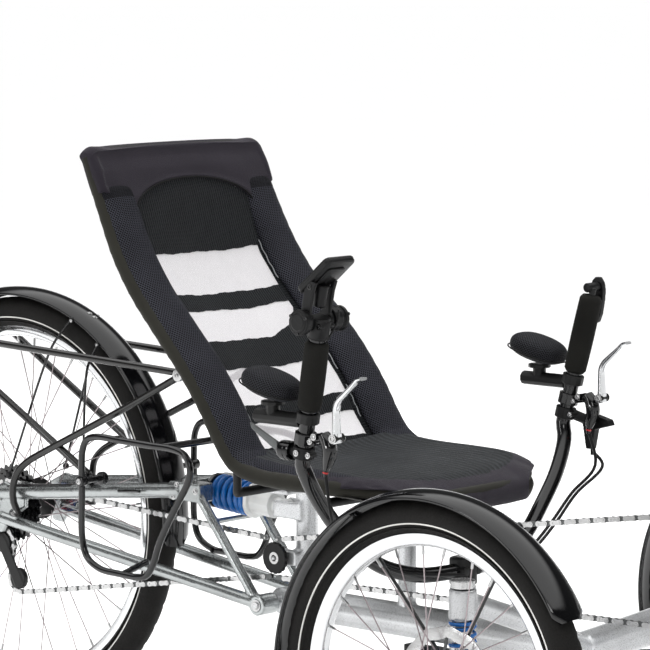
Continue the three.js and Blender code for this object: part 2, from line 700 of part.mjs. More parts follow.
// Rear rack: level rails, diagonal tubes down to the dropouts and to clamps on the swing arm
function rearRack() {
  const pieces = [
    bentTube([[-rackX, 170, 593], [-rackX, 232, 593], [-52, 262, 593], [0, 268, 593], [52, 262, 593],
      [rackX, 232, 593], [rackX, 170, 593]], 5.5, 10, 6),
    rod([-rackX, -412, 571], [rackX, -412, 571], 5, 6),
  ];
  for (const side of [-1, 1]) {
    const x = side * rackX;
    pieces.push(rod([x, 175, 593], [x, -421, 571], 5.5, 6));
    pieces.push(rod([x, -420, 567], [x, -96, 414], 5.5, 6));
    pieces.push(bentTube([[x, -100, 416], [x, -84, 407], [side * 82, -66, 392], [side * 86, -57, 366],
      [side * 86, -60, 340], [side * 82, -70, 320]], 5.5, 6, 6));
    pieces.push(rod([side * 82, -68, 322], [side * 76, -44, 320], 5.5, 6));
    pieces.push(rod([x, 132, 591], [side * 72, -214, 398], 6, 6));
    pieces.push(rod([x, -424, 569], [x, -408, 569], 9, 8));
  }
  return join(pieces);
}
add('rear_rack', rearRack(), gunmetal);

// Low rider: a loop beside the wheel on each side, tied by a cross bar ahead of the mudguard
function lowRider() {
  const pieces = [rod([-loopX, -423, 464], [loopX, -423, 464], 5.5, 6)];
  for (const side of [-1, 1]) {
    const x = side * loopX;
    pieces.push(bentTube([[x, -330, 264], [x, -272, 272], [x, -252, 300], [x, -252, 350], [x, -252, 430],
      [x, -258, 456], [x, -282, 467], [x, -360, 465], [x, -450, 463], [x, -474, 452], [x, -482, 430],
      [x, -464, 396], [x, -422, 330], [x, -398, 276], [x, -366, 262]], 5, 22, 6));
    pieces.push(rod([x, -366, 262], [x, -326, 264], 5, 6));
    pieces.push(rod([x, -340, 263.5], [side * 71, -340, 276], 5, 6));
    pieces.push(rod([x, -252, 396], [side * 84, -252, 396], 4.5, 6));
  }
  return join(pieces);
}
add('low_rider', lowRider(), blackMetal);

// Derailleur hanging from the right dropout, with its two jockey wheels in one cage
function derailleur() {
  const cageX = chainX - chainWidth / 2 - 3;
  return join(
    rod([-57.5, 14, 296], [cageX, 22, 276], 8, 8),
    sidePlate(band([[24, 274], [jockeyUpper[0], jockeyUpper[1]], [jockeyLower[0], jockeyLower[1]],
      [-28, 198]], 20), 2.5, cageX),
    rod([cageX, ...jockeyUpper], [chainX + 2.5, ...jockeyUpper], jockeyRadius, 14),
    rod([cageX, ...jockeyLower], [chainX + 2.5, ...jockeyLower], jockeyRadius, 14),
  );
}
add('derailleur', derailleur(), blackMetal);

// Seat: tube frame, bolsters, head panel, back net, strap panel behind it and base cushion
const seatTube = 9;
const backLine = [[-329, 893], [-342, 862], [-366, 812], [-399, 751], [-438, 699], [-485, 650],
  [-538, 595], [-580, 542], [-609, 497]];
const baseLine = [[-636, 467], [-680, 454], [-740, 452], [-805, 452]];
const seatHalfWidth = (z) => 176 + 12 * Math.min(Math.max((880 - z) / 300, 0), 1);
const noseLine = [[183, -850, 450], [164, -883, 447], [138, -907, 443], [100, -923, 439], [50, -930, 438]];

function seatFrame() {
  const pieces = [];
  for (const side of [-1, 1]) {
    const rail = [[0, -326, 900], [side * 60, -326, 900], [side * 128, -326, 900], [side * 158, -327, 897],
      [side * 173, -332, 886]];
    backLine.slice(1).concat(baseLine).forEach(([y, z]) => rail.push([side * seatHalfWidth(z), y, z]));
    noseLine.forEach(([x, y, z]) => rail.push([side * x, y, z]));
    rail.push([0, -930, 438]);
    pieces.push(bentTube(rail, seatTube, 26, 8));
    for (const y of [-640, -800]) {
      pieces.push(rod([side * 187, y, y < -700 ? 452 : 464], [side * 187, y, 426], 7, 6));
    }
  }
  for (const y of [-640, -800]) {
    pieces.push(rod([-190, y, 426], [190, y, 426], 7.5, 8));
  }
  return join(pieces);
}
add('seat_frame', seatFrame(), blackMetal);

// A strip of the seat back, set in front of or behind the tube line
function backStrip(line, offset, thickness, halfWidth) {
  const moved = line.map(([y, z], i) => {
    const before = line[Math.max(i - 1, 0)];
    const after = line[Math.min(i + 1, line.length - 1)];
    const length = Math.hypot(after[0] - before[0], after[1] - before[1]);
    return [y + ((after[1] - before[1]) / length) * offset, z - ((after[0] - before[0]) / length) * offset];
  });
  return sidePlate(band(moved, thickness), 2 * halfWidth, 0);
}

const netHalf = 122;

function seatBolster(side) {
  const line = backLine.slice(2).concat([[-628, 474]]);
  const points = line.map(([y, z]) => [side * (seatHalfWidth(z) - 38), y, z]);
  return sweep(points, 50, 26, 10, 10);
}

for (const [side, tag] of [[-1, 'right'], [1, 'left']]) {
  add(`seat_bolster_${tag}`, seatBolster(side), meshFabric);
}

// The arched field inside the head panel: an ellipse over a straight-sided block
const archZ = 796;

function archField(halfWidth, rise) {
  const ellipse = new THREE.CylinderGeometry(1, 1, 240, 24);
  ellipse.scale(halfWidth, 1, rise);
  ellipse.translate(0, -360, archZ);
  return solid(ellipse).add(block([0, -480, archZ - 250], [2 * halfWidth, 480, 500]));
}

function headPanel() {
  const panel = backStrip([[-338, 872], [-344, 857], [-362, 819]], 0, 16, 156);
  return panel.subtract(archField(137, 62));
}
add('seat_head_panel', headPanel(), panelFabric);

const innerLine = [[-346, 854], [-366, 812], [-399, 751], [-438, 699], [-485, 650], [-538, 595],
  [-580, 542], [-609, 497], [-624, 478]];

// Heights between which the backing straps leave the net open
const windows = [[692, 750], [628, 670], [540, 590], [482, 515]];

function backMesh() {
  const net = backStrip(innerLine, -2, 3, netHalf - 6);
  const straps = windows.reduce((rest, [low, high]) => rest.subtract(
    block([0, -500, (low + high) / 2], [2 * netHalf - 24, 500, high - low])),
  backStrip(innerLine, 0.5, 3, netHalf - 6));
  return net.add(straps).intersect(archField(132, 57));
}
add('seat_back_mesh', backMesh(), meshFabric);

// The base cushion: a side-view outline cut to a plan that narrows towards the nose
function baseCushion() {
  const outline = [[-652, 455], [-652, 470], [-690, 466], [-830, 466], [-880, 462], [-908, 454],
    [-908, 436], [-830, 437], [-700, 438], [-664, 442]];
  const right = [[-175, -640], [-175, -812], [-170, -842], [-153, -872], [-130, -894], [-96, -908],
    [-60, -914]];
  const plan = new THREE.Shape([...right, ...right.map(([x, y]) => [-x, y]).reverse()]
    .map(([x, y]) => new THREE.Vector2(x, y)));
  const column = new THREE.ExtrudeGeometry(plan, { depth: 200, bevelEnabled: false });
  column.translate(0, 0, 350);
  return sidePlate(outline, 360, 0).intersect(solid(column));
}
add('seat_base_cushion', baseCushion(), meshFabric);

export default trike;
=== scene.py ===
"""The looks of a full-suspension recumbent tricycle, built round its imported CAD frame.

Lengths in the part sections are millimetres from the ground under the rear axle, and at() turns
them into the frame's metres. The rider faces -Y and +X is the rider's left.
"""

import math

import bpy
from mathutils import Matrix, Vector


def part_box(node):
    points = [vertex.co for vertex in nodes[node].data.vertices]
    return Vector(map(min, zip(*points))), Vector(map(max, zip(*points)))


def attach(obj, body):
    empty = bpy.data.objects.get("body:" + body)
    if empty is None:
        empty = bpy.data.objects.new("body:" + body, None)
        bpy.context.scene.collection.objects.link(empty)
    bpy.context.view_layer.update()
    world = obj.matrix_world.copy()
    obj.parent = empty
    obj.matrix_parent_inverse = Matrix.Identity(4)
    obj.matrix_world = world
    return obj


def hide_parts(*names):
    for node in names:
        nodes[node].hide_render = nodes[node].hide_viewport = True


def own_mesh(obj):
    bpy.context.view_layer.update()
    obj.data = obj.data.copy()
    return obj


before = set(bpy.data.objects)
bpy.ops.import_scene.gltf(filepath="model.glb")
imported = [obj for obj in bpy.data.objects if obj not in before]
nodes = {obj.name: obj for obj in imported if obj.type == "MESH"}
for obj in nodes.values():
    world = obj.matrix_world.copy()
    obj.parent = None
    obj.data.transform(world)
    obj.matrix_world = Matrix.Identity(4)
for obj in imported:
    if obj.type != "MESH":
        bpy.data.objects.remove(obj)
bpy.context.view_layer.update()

MM = 0.001
tyre_low, tyre_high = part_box("rear_tyre")
AXLE_Y = (tyre_low.y + tyre_high.y) / 2
X_AXIS = Vector((1, 0, 0))
SIDES = ((-1, "right"), (1, "left"))

# The view: the camera's place, its azimuth and height angle in degrees, and its lens
CAMERA_PLACE = (-3774.8, -4056.6, 1194.1)
CAMERA_ANGLES = (-47.85, 6.07)
CAMERA_LENS = 193.85
FLOOR_REACH = 150


def at(x, y, z):
    """A point given in millimetres from the ground under the rear axle."""
    return Vector((x * MM, y * MM + AXLE_Y, z * MM))


def along_plane(x, outline):
    """Points at one x from side-view pairs of y and z."""
    return [at(x, y, z) for y, z in outline]


def angles(count):
    """Angles in radians evenly round a full turn."""
    return [2 * math.pi * j / count for j in range(count)]


def rounded(value, power):
    """A sine or cosine raised to a power with its sign kept: below 1 it squares a circle off."""
    return math.copysign(abs(value) ** power, value)


def around_axle(angle):
    """The direction at an angle in radians about the X axis."""
    return Vector((0, math.cos(angle), math.sin(angle)))


def between(a, b, shares):
    """Pairs part of the way from a to b."""
    return [(a[0] + (b[0] - a[0]) * s, a[1] + (b[1] - a[1]) * s) for s in shares]


# ---------------------------------------------------------------- camera, floor and light

def look(position, target, lens):
    data = bpy.data.cameras.new("camera")
    data.lens = lens
    data.sensor_width = 36
    data.clip_start, data.clip_end = 0.1, 400
    camera = bpy.data.objects.new("camera", data)
    camera.location = position
    camera.rotation_mode = "QUATERNION"
    camera.rotation_quaternion = (target - position).to_track_quat("-Z", "Y")
    bpy.context.scene.collection.objects.link(camera)
    bpy.context.scene.camera = camera


def viewing_direction(azimuth, elevation):
    a, e = math.radians(azimuth), math.radians(elevation)
    return Vector((math.sin(a) * math.cos(e), -math.cos(a) * math.cos(e), math.sin(e)))


camera_at = at(*CAMERA_PLACE)
look(camera_at, camera_at - viewing_direction(*CAMERA_ANGLES), CAMERA_LENS)


def area_light(name, position, target, size, watts, mirrored=True):
    data = bpy.data.lights.new(name, "AREA")
    data.shape = "RECTANGLE"
    data.size, data.size_y = size
    data.energy = watts
    lamp = bpy.data.objects.new(name, data)
    lamp.location = position
    lamp.visible_glossy = mirrored
    lamp.rotation_mode = "QUATERNION"
    lamp.rotation_quaternion = (Vector(target) - Vector(position)).to_track_quat("-Z", "Y")
    bpy.context.scene.collection.objects.link(lamp)


# Brightness of the studio by the sine of the height angle: pale walls, a dark band, a wide soft top
SKY = ((0.0, 1.0), (0.10, 1.0), (0.2, 0.08), (0.55, 0.08), (0.7, 1.66), (1.0, 1.66))


def studio():
    world = bpy.data.worlds.new("studio")
    world.use_nodes = True
    links, make = world.node_tree.links, world.node_tree.nodes.new
    background = world.node_tree.nodes["Background"]
    background.inputs["Strength"].default_value = 1.0
    sky, parts, bands = (make(f"ShaderNode{kind}") for kind in ("TexCoord", "SeparateXYZ", "ValToRGB"))
    links.new(sky.outputs["Generated"], parts.inputs["Vector"])
    links.new(parts.outputs["Z"], bands.inputs["Fac"])
    links.new(bands.outputs["Color"], background.inputs["Color"])
    ramp = bands.color_ramp
    ramp.interpolation = "EASE"
    ramp.elements[0].position, ramp.elements[1].position = SKY[0][0], SKY[-1][0]
    for place, _ in SKY[1:-1]:
        ramp.elements.new(place)
    for stop, (_, level) in zip(ramp.elements, SKY):
        stop.color = (level, level, level, 1)
    bpy.context.scene.world = world
    bpy.context.scene.view_settings.view_transform = "Standard"
    area_light("overhead", (0.4, 1.2, 4.0), (0, 0, 0.4), (1.2, 2.6), 80, mirrored=False)
    area_light("front_key", (-3.6, -3.6, 2.6), (0, -0.1, 0.5), (1.4, 1.4), 30)
    area_light("rear_rim", (2.6, 3.4, 2.6), (0, 0.1, 0.5), (1.6, 1.2), 60, mirrored=False)
    area_light("side_strip", (-4.4, 1.6, 1.8), (0, 0.2, 0.5), (0.5, 2.6), 30)


studio()


# ---------------------------------------------------------------- materials

class Shader:
    """A Principled material and short calls that add nodes to it."""

    def __init__(self, name, roughness, metallic=0.0, specular=0.5, coat=0.0, sheen=0.0, alpha=1.0):
        self.material = bpy.data.materials.new(name)
        self.material.use_nodes = True
        self.tree = self.material.node_tree
        self.surface = self.tree.nodes["Principled BSDF"]
        self.put("Roughness", roughness)
        self.put("Metallic", metallic)
        self.put("Specular IOR Level", specular)
        self.put("Coat Weight", coat)
        self.put("Coat Roughness", 0.06)
        self.put("Sheen Weight", sheen)
        self.put("Sheen Roughness", 0.45)
        self.put("Alpha", alpha)

    def put(self, socket, value):
        self.surface.inputs[socket].default_value = value

    def node(self, kind, **settings):
        made = self.tree.nodes.new(kind)
        for key, value in settings.items():
            setattr(made, key, value)
        return made

    def join(self, source, target):
        self.tree.links.new(source, target)

    def place(self, uv):
        """Coordinates that stay with the mesh: metres along the cloth, or the frame's own."""
        return self.node("ShaderNodeTexCoord").outputs["UV" if uv else "Object"]

    def noise(self, where, scale, detail=3.0, stretch=None):
        if stretch:
            where = self.vector("MULTIPLY", where, stretch)
        texture = self.node("ShaderNodeTexNoise")
        texture.inputs["Scale"].default_value = scale
        texture.inputs["Detail"].default_value = detail
        self.join(where, texture.inputs["Vector"])
        return texture.outputs["Fac"]

    def vector(self, operation, a, b=None):
        made = self.node("ShaderNodeVectorMath", operation=operation)
        self.join(a, made.inputs[0])
        if isinstance(b, tuple):
            made.inputs[1].default_value = b
        elif b is not None:
            self.join(b, made.inputs[1])
        return made.outputs["Value" if operation == "LENGTH" else "Vector"]

    def maths(self, operation, a, b):
        made = self.node("ShaderNodeMath", operation=operation)
        for socket, value in zip(made.inputs, (a, b)):
            if isinstance(value, (int, float)):
                socket.default_value = value
            else:
                self.join(value, socket)
        return made.outputs["Value"]

    def spread(self, value, low, high, to_low=0.0, to_high=1.0):
        made = self.node("ShaderNodeMapRange", interpolation_type="SMOOTHSTEP")
        self.join(value, made.inputs["Value"])
        made.inputs["From Min"].default_value = low
        made.inputs["From Max"].default_value = high
        made.inputs["To Min"].default_value = to_low
        made.inputs["To Max"].default_value = to_high
        return made.outputs["Result"]

    def blend(self, share, a, b):
        made = self.node("ShaderNodeMix", data_type="RGBA")
        self.join(share, made.inputs["Factor"])
        for socket, value in ((made.inputs[6], a), (made.inputs[7], b)):
            if isinstance(value, tuple):
                socket.default_value = (*value, 1.0)
            else:
                self.join(value, socket)
        return made.outputs[2]

    def colour(self, value):
        self.join(value, self.surface.inputs["Base Color"])

    def relief(self, height, distance, strength=1.0):
        bump = self.node("ShaderNodeBump")
        bump.inputs["Distance"].default_value = distance
        bump.inputs["Strength"].default_value = strength
        self.join(height, bump.inputs["Height"])
        self.join(bump.outputs["Normal"], self.surface.inputs["Normal"])


def shade(colour, by):
    return tuple(min(1.0, c * by) for c in colour)


def coated(name, colour, roughness, metallic=0.0, coat=0.6, grain=900, wear=0.0, specular=0.5):
    """Painted or plated metal and moulded plastic: slow tone changes, fine grain, rubbed edges."""
    s = Shader(name, roughness, metallic, specular, coat)
    where = s.place(False)
    slow = s.noise(where, 9, 4)
    fine = s.noise(where, grain, 2)
    tone = s.blend(s.spread(slow, 0.35, 0.65), shade(colour, 0.86), shade(colour, 1.1))
    if wear:
        edges = s.node("ShaderNodeNewGeometry").outputs["Pointiness"]
        patches = s.spread(s.noise(where, 60, 5), 0.45, 0.7)
        rubbed = s.maths("MULTIPLY", s.spread(edges, 0.53, 0.62), patches)
        tone = s.blend(s.maths("MULTIPLY", rubbed, wear), tone, shade(colour, 3.0))
    s.colour(tone)
    s.join(s.spread(fine, 0.3, 0.7, roughness * 0.85, roughness * 1.2), s.surface.inputs["Roughness"])
    s.relief(fine, 0.00006, 0.5)
    return s.material


def brushed(name, colour, roughness, stretch=(30, 1, 30), scale=120):
    """Bare metal with fine lines along one direction."""
    s = Shader(name, roughness, 1.0)
    where = s.place(False)
    lines = s.noise(where, scale, 4, stretch)
    s.colour(s.blend(s.spread(lines, 0.3, 0.7), shade(colour, 0.82), shade(colour, 1.12)))
    s.join(s.spread(s.noise(where, 14, 4), 0.3, 0.7, roughness * 0.7, roughness * 1.4),
           s.surface.inputs["Roughness"])
    s.relief(lines, 0.00004, 0.4)
    return s.material


def cells(s, where, across, along):
    """Distance from the middle of each opening in a staggered mesh, 0 in it and about 0.6 between."""
    tall = math.sqrt(3)
    scaled = s.vector("MULTIPLY", where, (1 / across, tall / along, 0.0))
    near = []
    for shift in ((0.0, 0.0, 0.0), (0.5, tall / 2, 0.0)):
        moved = s.vector("ADD", scaled, shift)
        part = s.vector("FRACTION", s.vector("MULTIPLY", moved, (1.0, 1 / tall, 0.0)))
        centred = s.vector("SUBTRACT", part, (0.5, 0.5, 0.0))
        near.append(s.vector("LENGTH", s.vector("MULTIPLY", centred, (1.0, tall, 0.0))))
    return s.maths("MINIMUM", near[0], near[1])


def spacer_mesh(name, thread, hole, across, along):
    """Knitted spacer fabric: rows of small staggered openings between raised threads."""
    s = Shader(name, 0.62, specular=0.15)
    where = s.place(True)
    opening = cells(s, where, across, along)
    threads = s.spread(opening, 0.30, 0.47)
    slow = s.noise(where, 14, 3)
    tone = s.blend(s.spread(slow, 0.3, 0.7), shade(thread, 0.85), shade(thread, 1.15))
    s.colour(s.blend(threads, hole, tone))
    s.relief(s.maths("ADD", threads, s.maths("MULTIPLY", s.noise(where, 1800, 2), 0.25)), 0.0010)
    return s.material


def ribbed_mesh(name, thread, hole, pitch, roughness, sheen, lift, rib):
    """Fine woven mesh with ribs along the seat, rib metres apart, openings across them and painted glints of
    lift colour.
    """
    s = Shader(name, roughness, specular=0.2, sheen=sheen)
    where = s.place(True)
    wave = s.node("ShaderNodeTexWave", wave_type="BANDS", bands_direction="Y", wave_profile="SIN")
    wave.inputs["Scale"].default_value = 0.314 / rib
    wave.inputs["Distortion"].default_value = 1.2
    wave.inputs["Detail"].default_value = 2.0
    s.join(where, wave.inputs["Vector"])
    ribs = wave.outputs["Fac"]
    opening = cells(s, where, pitch, pitch * 0.75)
    threads = s.maths("MULTIPLY", s.spread(opening, 0.16, 0.40), s.spread(ribs, 0.0, 1.0, 0.25, 1.0))
    # Painted highlight: pale glints in the lift colour, scattered at random over the threads.
    painted_glints = s.spread(s.noise(where, 700, 1), 0.62, 0.75)
    tone = s.blend(s.spread(s.noise(where, 18, 3), 0.3, 0.7), shade(thread, 0.82), shade(thread, 1.18))
    tone = s.blend(s.maths("MULTIPLY", painted_glints, 0.5), tone, lift)
    s.colour(s.blend(threads, hole, tone))
    s.relief(s.maths("ADD", threads, ribs), 0.0007)
    return s.material


def woven(name, colour, roughness=0.8, sheen=0.1, pitch=0.0011):
    """Smooth close-woven cover cloth."""
    s = Shader(name, roughness, specular=0.2, sheen=sheen)
    where = s.place(True)
    weave = cells(s, where, pitch, pitch)
    slow = s.noise(where, 10, 4)
    tone = s.blend(s.spread(slow, 0.3, 0.7), shade(colour, 0.86), shade(colour, 1.14))
    s.colour(s.blend(s.spread(weave, 0.1, 0.5), shade(colour, 0.7), tone))
    s.relief(weave, 0.0002)
    return s.material


def see_through_net(name, colour, cover):
    """A pale fine net: light passes between its threads."""
    s = Shader(name, 0.7, sheen=0.2)
    where = s.place(True)
    opening = cells(s, where, 0.0022, 0.0022)
    threads = s.spread(opening, 0.3, 0.5)
    s.colour(s.blend(s.noise(where, 40, 3), shade(colour, 0.92), colour))
    s.join(s.spread(threads, 0.0, 1.0, cover, 1.0), s.surface.inputs["Alpha"])
    s.relief(threads, 0.0003)
    return s.material


def rubber(name, colour, roughness=0.82, grain=500):
    s = Shader(name, roughness, specular=0.2)
    where = s.place(False)
    slow = s.noise(where, 12, 4)
    fine = s.noise(where, grain, 3)
    s.colour(s.blend(s.spread(slow, 0.35, 0.65), shade(colour, 0.85), shade(colour, 1.2)))
    rougher = s.spread(fine, 0.3, 0.7, roughness * 0.85, min(1.0, roughness * 1.1))
    s.join(rougher, s.surface.inputs["Roughness"])
    s.relief(fine, 0.0002, 0.6)
    return s.material


MAT = {
    "frame_paint": coated("frame_paint", (0.60, 0.61, 0.62), 0.3, 0.6, 0.4, wear=0.25),
    "silver_tube": coated("silver_tube", (0.40, 0.42, 0.42), 0.24, 0.9, 0.2),
    "polished": brushed("polished_alloy", (0.74, 0.75, 0.76), 0.14),
    "steel": brushed("bright_steel", (0.55, 0.55, 0.55), 0.24),
    "spoke": brushed("spoke_steel", (0.36, 0.31, 0.32), 0.3),
    "gunmetal": coated("gunmetal_tube", (0.008, 0.0075, 0.007), 0.13, 0.0, 0.3, specular=0.4),
    "black_metal": coated("black_metal", (0.003, 0.003, 0.0035), 0.15, 0.0, 0.4, specular=0.4, wear=0.1),
    "black_satin": coated("black_satin", (0.008, 0.008, 0.008), 0.42, 0.0, 0.0, specular=0.3, wear=0.15),
    "plastic": coated("moulded_plastic", (0.006, 0.006, 0.0065), 0.4, 0.0, 0.0, 1400, specular=0.25,
                      wear=0.2),
    "gloss": coated("gloss_black", (0.002, 0.002, 0.0025), 0.09, 0.0, 0.0, specular=0.55),
    "glass": coated("display_glass", (0.003, 0.0035, 0.004), 0.08, 0.0, 0.0, specular=0.5),
    "blue_paint": coated("spring_blue", (0.001, 0.13, 0.46), 0.22, 0.0, 0.3),
    "pale_paint": coated("pale_paint", (0.78, 0.79, 0.78), 0.35, 0.1, 0.4),
    "dark_plate": coated("dark_plate", (0.10, 0.105, 0.105), 0.35, 0.7, 0.3, wear=0.3),
    "red": coated("red_anodised", (0.6, 0.01, 0.01), 0.3, 0.3, 0.6),
    "tyre": rubber("tyre_rubber", (0.0065, 0.006, 0.0055), 0.7),
    "stripe": coated("reflective_stripe", (0.72, 0.71, 0.68), 0.4, 0.2, 0.2),
    "foam": rubber("grip_foam", (0.010, 0.0098, 0.0085), 0.95, 1300),
    "spacer": spacer_mesh("spacer_mesh", (0.050, 0.051, 0.066), (0.0006, 0.0006, 0.0014), 0.0046, 0.0056),
    # The ribbed meshes' last colour (lift) is a painted highlight: the pale glints on their threads.
    "ribs": ribbed_mesh("ribbed_mesh", (0.032, 0.036, 0.040), (0.0015, 0.002, 0.0025), 0.0042, 0.6, 0.03,
                        (0.16, 0.17, 0.18), 0.013),
    "dense": ribbed_mesh("dense_mesh", (0.014, 0.017, 0.020), (0.003, 0.0035, 0.0045), 0.0026, 0.8, 0.05,
                         (0.03, 0.034, 0.038), 0.0045),
    "pad": spacer_mesh("pad_mesh", (0.034, 0.035, 0.042), (0.0004, 0.0004, 0.0008), 0.0044, 0.0054),
    "band": spacer_mesh("dark_band", (0.016, 0.016, 0.022), (0.0006, 0.0006, 0.0012), 0.0040, 0.0046),
    "cover": woven("smooth_cover", (0.022, 0.018, 0.026)),
    "sleeve": woven("edge_sleeve", (0.024, 0.023, 0.018), 0.85, 0.1, 0.0022),
    "piping": woven("piping", (0.003, 0.003, 0.0035), 0.7, 0.05),
    "grey_thread": woven("grey_thread", (0.30, 0.31, 0.32), 0.6, 0.2),
    "net": see_through_net("pale_net", (0.80, 0.775, 0.80), 0.62),
}


# ---------------------------------------------------------------- mesh making

class Piece:
    """One visible object, gathered from shells of faces that each have a material."""

    def __init__(self, name, body, *replaced, slot=None):
        self.name, self.body, self.replaced, self.slot = name, body, replaced, slot
        self.points, self.faces, self.uvs, self.materials, self.used = [], [], [], [], []

    def face(self, corners, uvs, material):
        if material not in self.used:
            self.used.append(material)
        self.faces.append(corners)
        self.uvs.extend(uvs)
        self.materials.append(self.used.index(material))

    def shell(self, rows, material, around=True, wrap=False):
        """Faces between rows of points. around closes each row, wrap joins the last to the first."""
        start, n = len(self.points), len(rows[0])
        for row in rows:
            self.points.extend(row)
        lengths = [0.0]
        for a, b in zip(rows, rows[1:] + rows[:1]):
            lengths.append(lengths[-1] + (a[n // 3] - b[n // 3]).length)
        middle = rows[len(rows) // 2]
        girth = [0.0]
        for a, b in zip(middle, middle[1:] + middle[:1]):
            girth.append(girth[-1] + (a - b).length)
        steps = len(rows) if wrap else len(rows) - 1
        for i in range(steps):
            for j in range(n if around else n - 1):
                k, m = (i + 1) % len(rows), (j + 1) % n
                corners = [start + i * n + j, start + i * n + m, start + k * n + m, start + k * n + j]
                square = [(girth[j], lengths[i]), (girth[j + 1], lengths[i]),
                          (girth[j + 1], lengths[i + 1]), (girth[j], lengths[i + 1])]
                self.face(corners, square, material(i, j) if callable(material) else material)
        if around and not wrap:
            for row, order in ((0, -1), (len(rows) - 1, 1)):
                ring = [start + row * n + j for j in range(n)][::order]
                middle_point = self.points[ring[0]]
                offsets = [self.points[c] - middle_point for c in ring]
                finish = material(row, 0) if callable(material) else material
                self.face(ring, [(v.x, v.z) for v in offsets], finish)
        return self

    def done(self, crease=38, bevel=0.0, subdivide=0):
        mesh = bpy.data.meshes.new(self.name)
        mesh.from_pydata([tuple(p) for p in self.points], [], self.faces)
        layer = mesh.uv_layers.new(name="cloth")
        for loop, uv in zip(layer.data, self.uvs):
            loop.uv = uv
        for material in self.used:
            mesh.materials.append(MAT[material])
        mesh.polygons.foreach_set("material_index", self.materials)
        mesh.shade_smooth()
        mesh.set_sharp_from_angle(angle=math.radians(crease))
        made = bpy.data.objects.new(self.name, mesh)
        bpy.context.scene.collection.objects.link(made)
        if bevel:
            edge = made.modifiers.new("bevel", "BEVEL")
            edge.width, edge.segments = bevel * MM, 2
            edge.limit_method = "ANGLE"
            edge.angle_limit = math.radians(40)
        if subdivide:
            made.modifiers.new("subdivide", "SUBSURF").render_levels = subdivide
            made.modifiers["subdivide"].levels = subdivide
        if self.body:
            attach(made, self.body)
        if self.replaced:
            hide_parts(*self.replaced)
        return made


def smooth_path(points, step):
    """Evenly spaced points, step millimetres apart, on a centripetal curve through the given ones."""
    points = [Vector(p) for p in points]
    if len(points) == 2:
        count = max(1, round((points[1] - points[0]).length / (step * MM)))
        return [points[0].lerp(points[1], i / count) for i in range(count + 1)]
    ghost = [2 * points[0] - points[1], *points, 2 * points[-1] - points[-2]]
    fine = []
    for a, b, c, d in zip(ghost, ghost[1:], ghost[2:], ghost[3:]):
        t = [0.0]
        for p, q in ((a, b), (b, c), (c, d)):
            t.append(t[-1] + max(1e-6, (q - p).length ** 0.5))
        for i in range(16):
            u = t[1] + (t[2] - t[1]) * i / 16
            first = [p * ((t[k + 1] - u) / (t[k + 1] - t[k])) + q * ((u - t[k]) / (t[k + 1] - t[k]))
                     for k, (p, q) in enumerate(((a, b), (b, c), (c, d)))]
            second = [first[k] * ((t[k + 2] - u) / (t[k + 2] - t[k]))
                      + first[k + 1] * ((u - t[k]) / (t[k + 2] - t[k])) for k in (0, 1)]
            span = t[2] - t[1]
            fine.append(second[0] * ((t[2] - u) / span) + second[1] * ((u - t[1]) / span))
    fine.append(points[-1])
    total = sum((q - p).length for p, q in zip(fine, fine[1:]))
    count = max(2, round(total / (step * MM)))
    even, walked, k = [fine[0]], 0.0, 0
    for i in range(1, count):
        goal = total * i / count
        while walked + (fine[k + 1] - fine[k]).length < goal:
            walked += (fine[k + 1] - fine[k]).length
            k += 1
        share = (goal - walked) / (fine[k + 1] - fine[k]).length
        even.append(fine[k].lerp(fine[k + 1], share))
    return even + [fine[-1]]


def directions(points, closed=False):
    last = len(points) - 1
    found = []
    for i in range(len(points)):
        before = points[i - 1] if i or closed else points[0]
        after = points[(i + 1) % len(points)] if i < last or closed else points[last]
        found.append((after - before).normalized())
    return found


def tube_rows(points, radius, sides=20, up=None):
    """Rings round a line. radius is one number of millimetres or a function of the share along it."""
    along = directions(points)
    side = (up or along[0].orthogonal()).normalized()
    rows = []
    for i, (p, d) in enumerate(zip(points, along)):
        side = (side - d * side.dot(d)).normalized()
        other = d.cross(side)
        r = (radius(i / max(1, len(points) - 1)) if callable(radius) else radius) * MM
        rows.append([p + side * (r * math.cos(t)) + other * (r * math.sin(t)) for t in angles(sides)])
    return rows


def tube(piece, points, radius, material, step=8, sides=20):
    return piece.shell(tube_rows(smooth_path(points, step), radius, sides), material)


def rod(piece, a, b, radius, material, sides=24, round_by=1.0):
    """A straight round bar whose two end edges are rounded."""
    a, b = Vector(a), Vector(b)
    d = (b - a).normalized()
    r = min(round_by, radius * 0.6)
    edge = r * 0.3
    stations = [(0, radius - r), (edge, radius - edge), (r, radius)]
    length = (b - a).length / MM
    stations += [(length - s, w) for s, w in reversed(stations)]
    side = d.orthogonal().normalized()
    other = d.cross(side)
    rows = []
    for s, w in stations:
        rows.append([a + d * (s * MM) + side * (w * MM * math.cos(t)) + other * (w * MM * math.sin(t))
                     for t in angles(sides)])
    return piece.shell(rows, material)


def spin(piece, profile, centre, material, segments=96, axis=X_AXIS, closed=True, ripple=None):
    """A [radius, distance along the axis] profile turned about an axis through centre."""
    axis = Vector(axis).normalized()
    side = Vector((0, 1, 0)) if abs(axis.x) > 0.9 else axis.orthogonal().normalized()
    other = axis.cross(side)
    rows = []
    for i in range(segments):
        t = 2 * math.pi * i / segments
        out = side * math.cos(t) + other * math.sin(t)
        rows.append([centre + out * ((r + (ripple(i, k) if ripple else 0)) * MM) + axis * (h * MM)
                     for k, (r, h) in enumerate(profile)])
    return piece.shell(rows, material, around=closed, wrap=True)


def bolt(piece, point, axis, radius=4.0, height=3.0, material="steel"):
    """A socket-head screw: a washer, a rounded head and a hexagon recess."""
    axis = Vector(axis).normalized()
    profile = [[0.01, 0], [radius * 1.5, 0], [radius * 1.5, 0.8], [radius, 0.9], [radius, height - 0.6],
               [radius - 0.6, height], [radius * 0.55, height], [radius * 0.5, height * 0.5],
               [0.01, height * 0.5]]
    spin(piece, profile, point, material, 24, axis, closed=False)


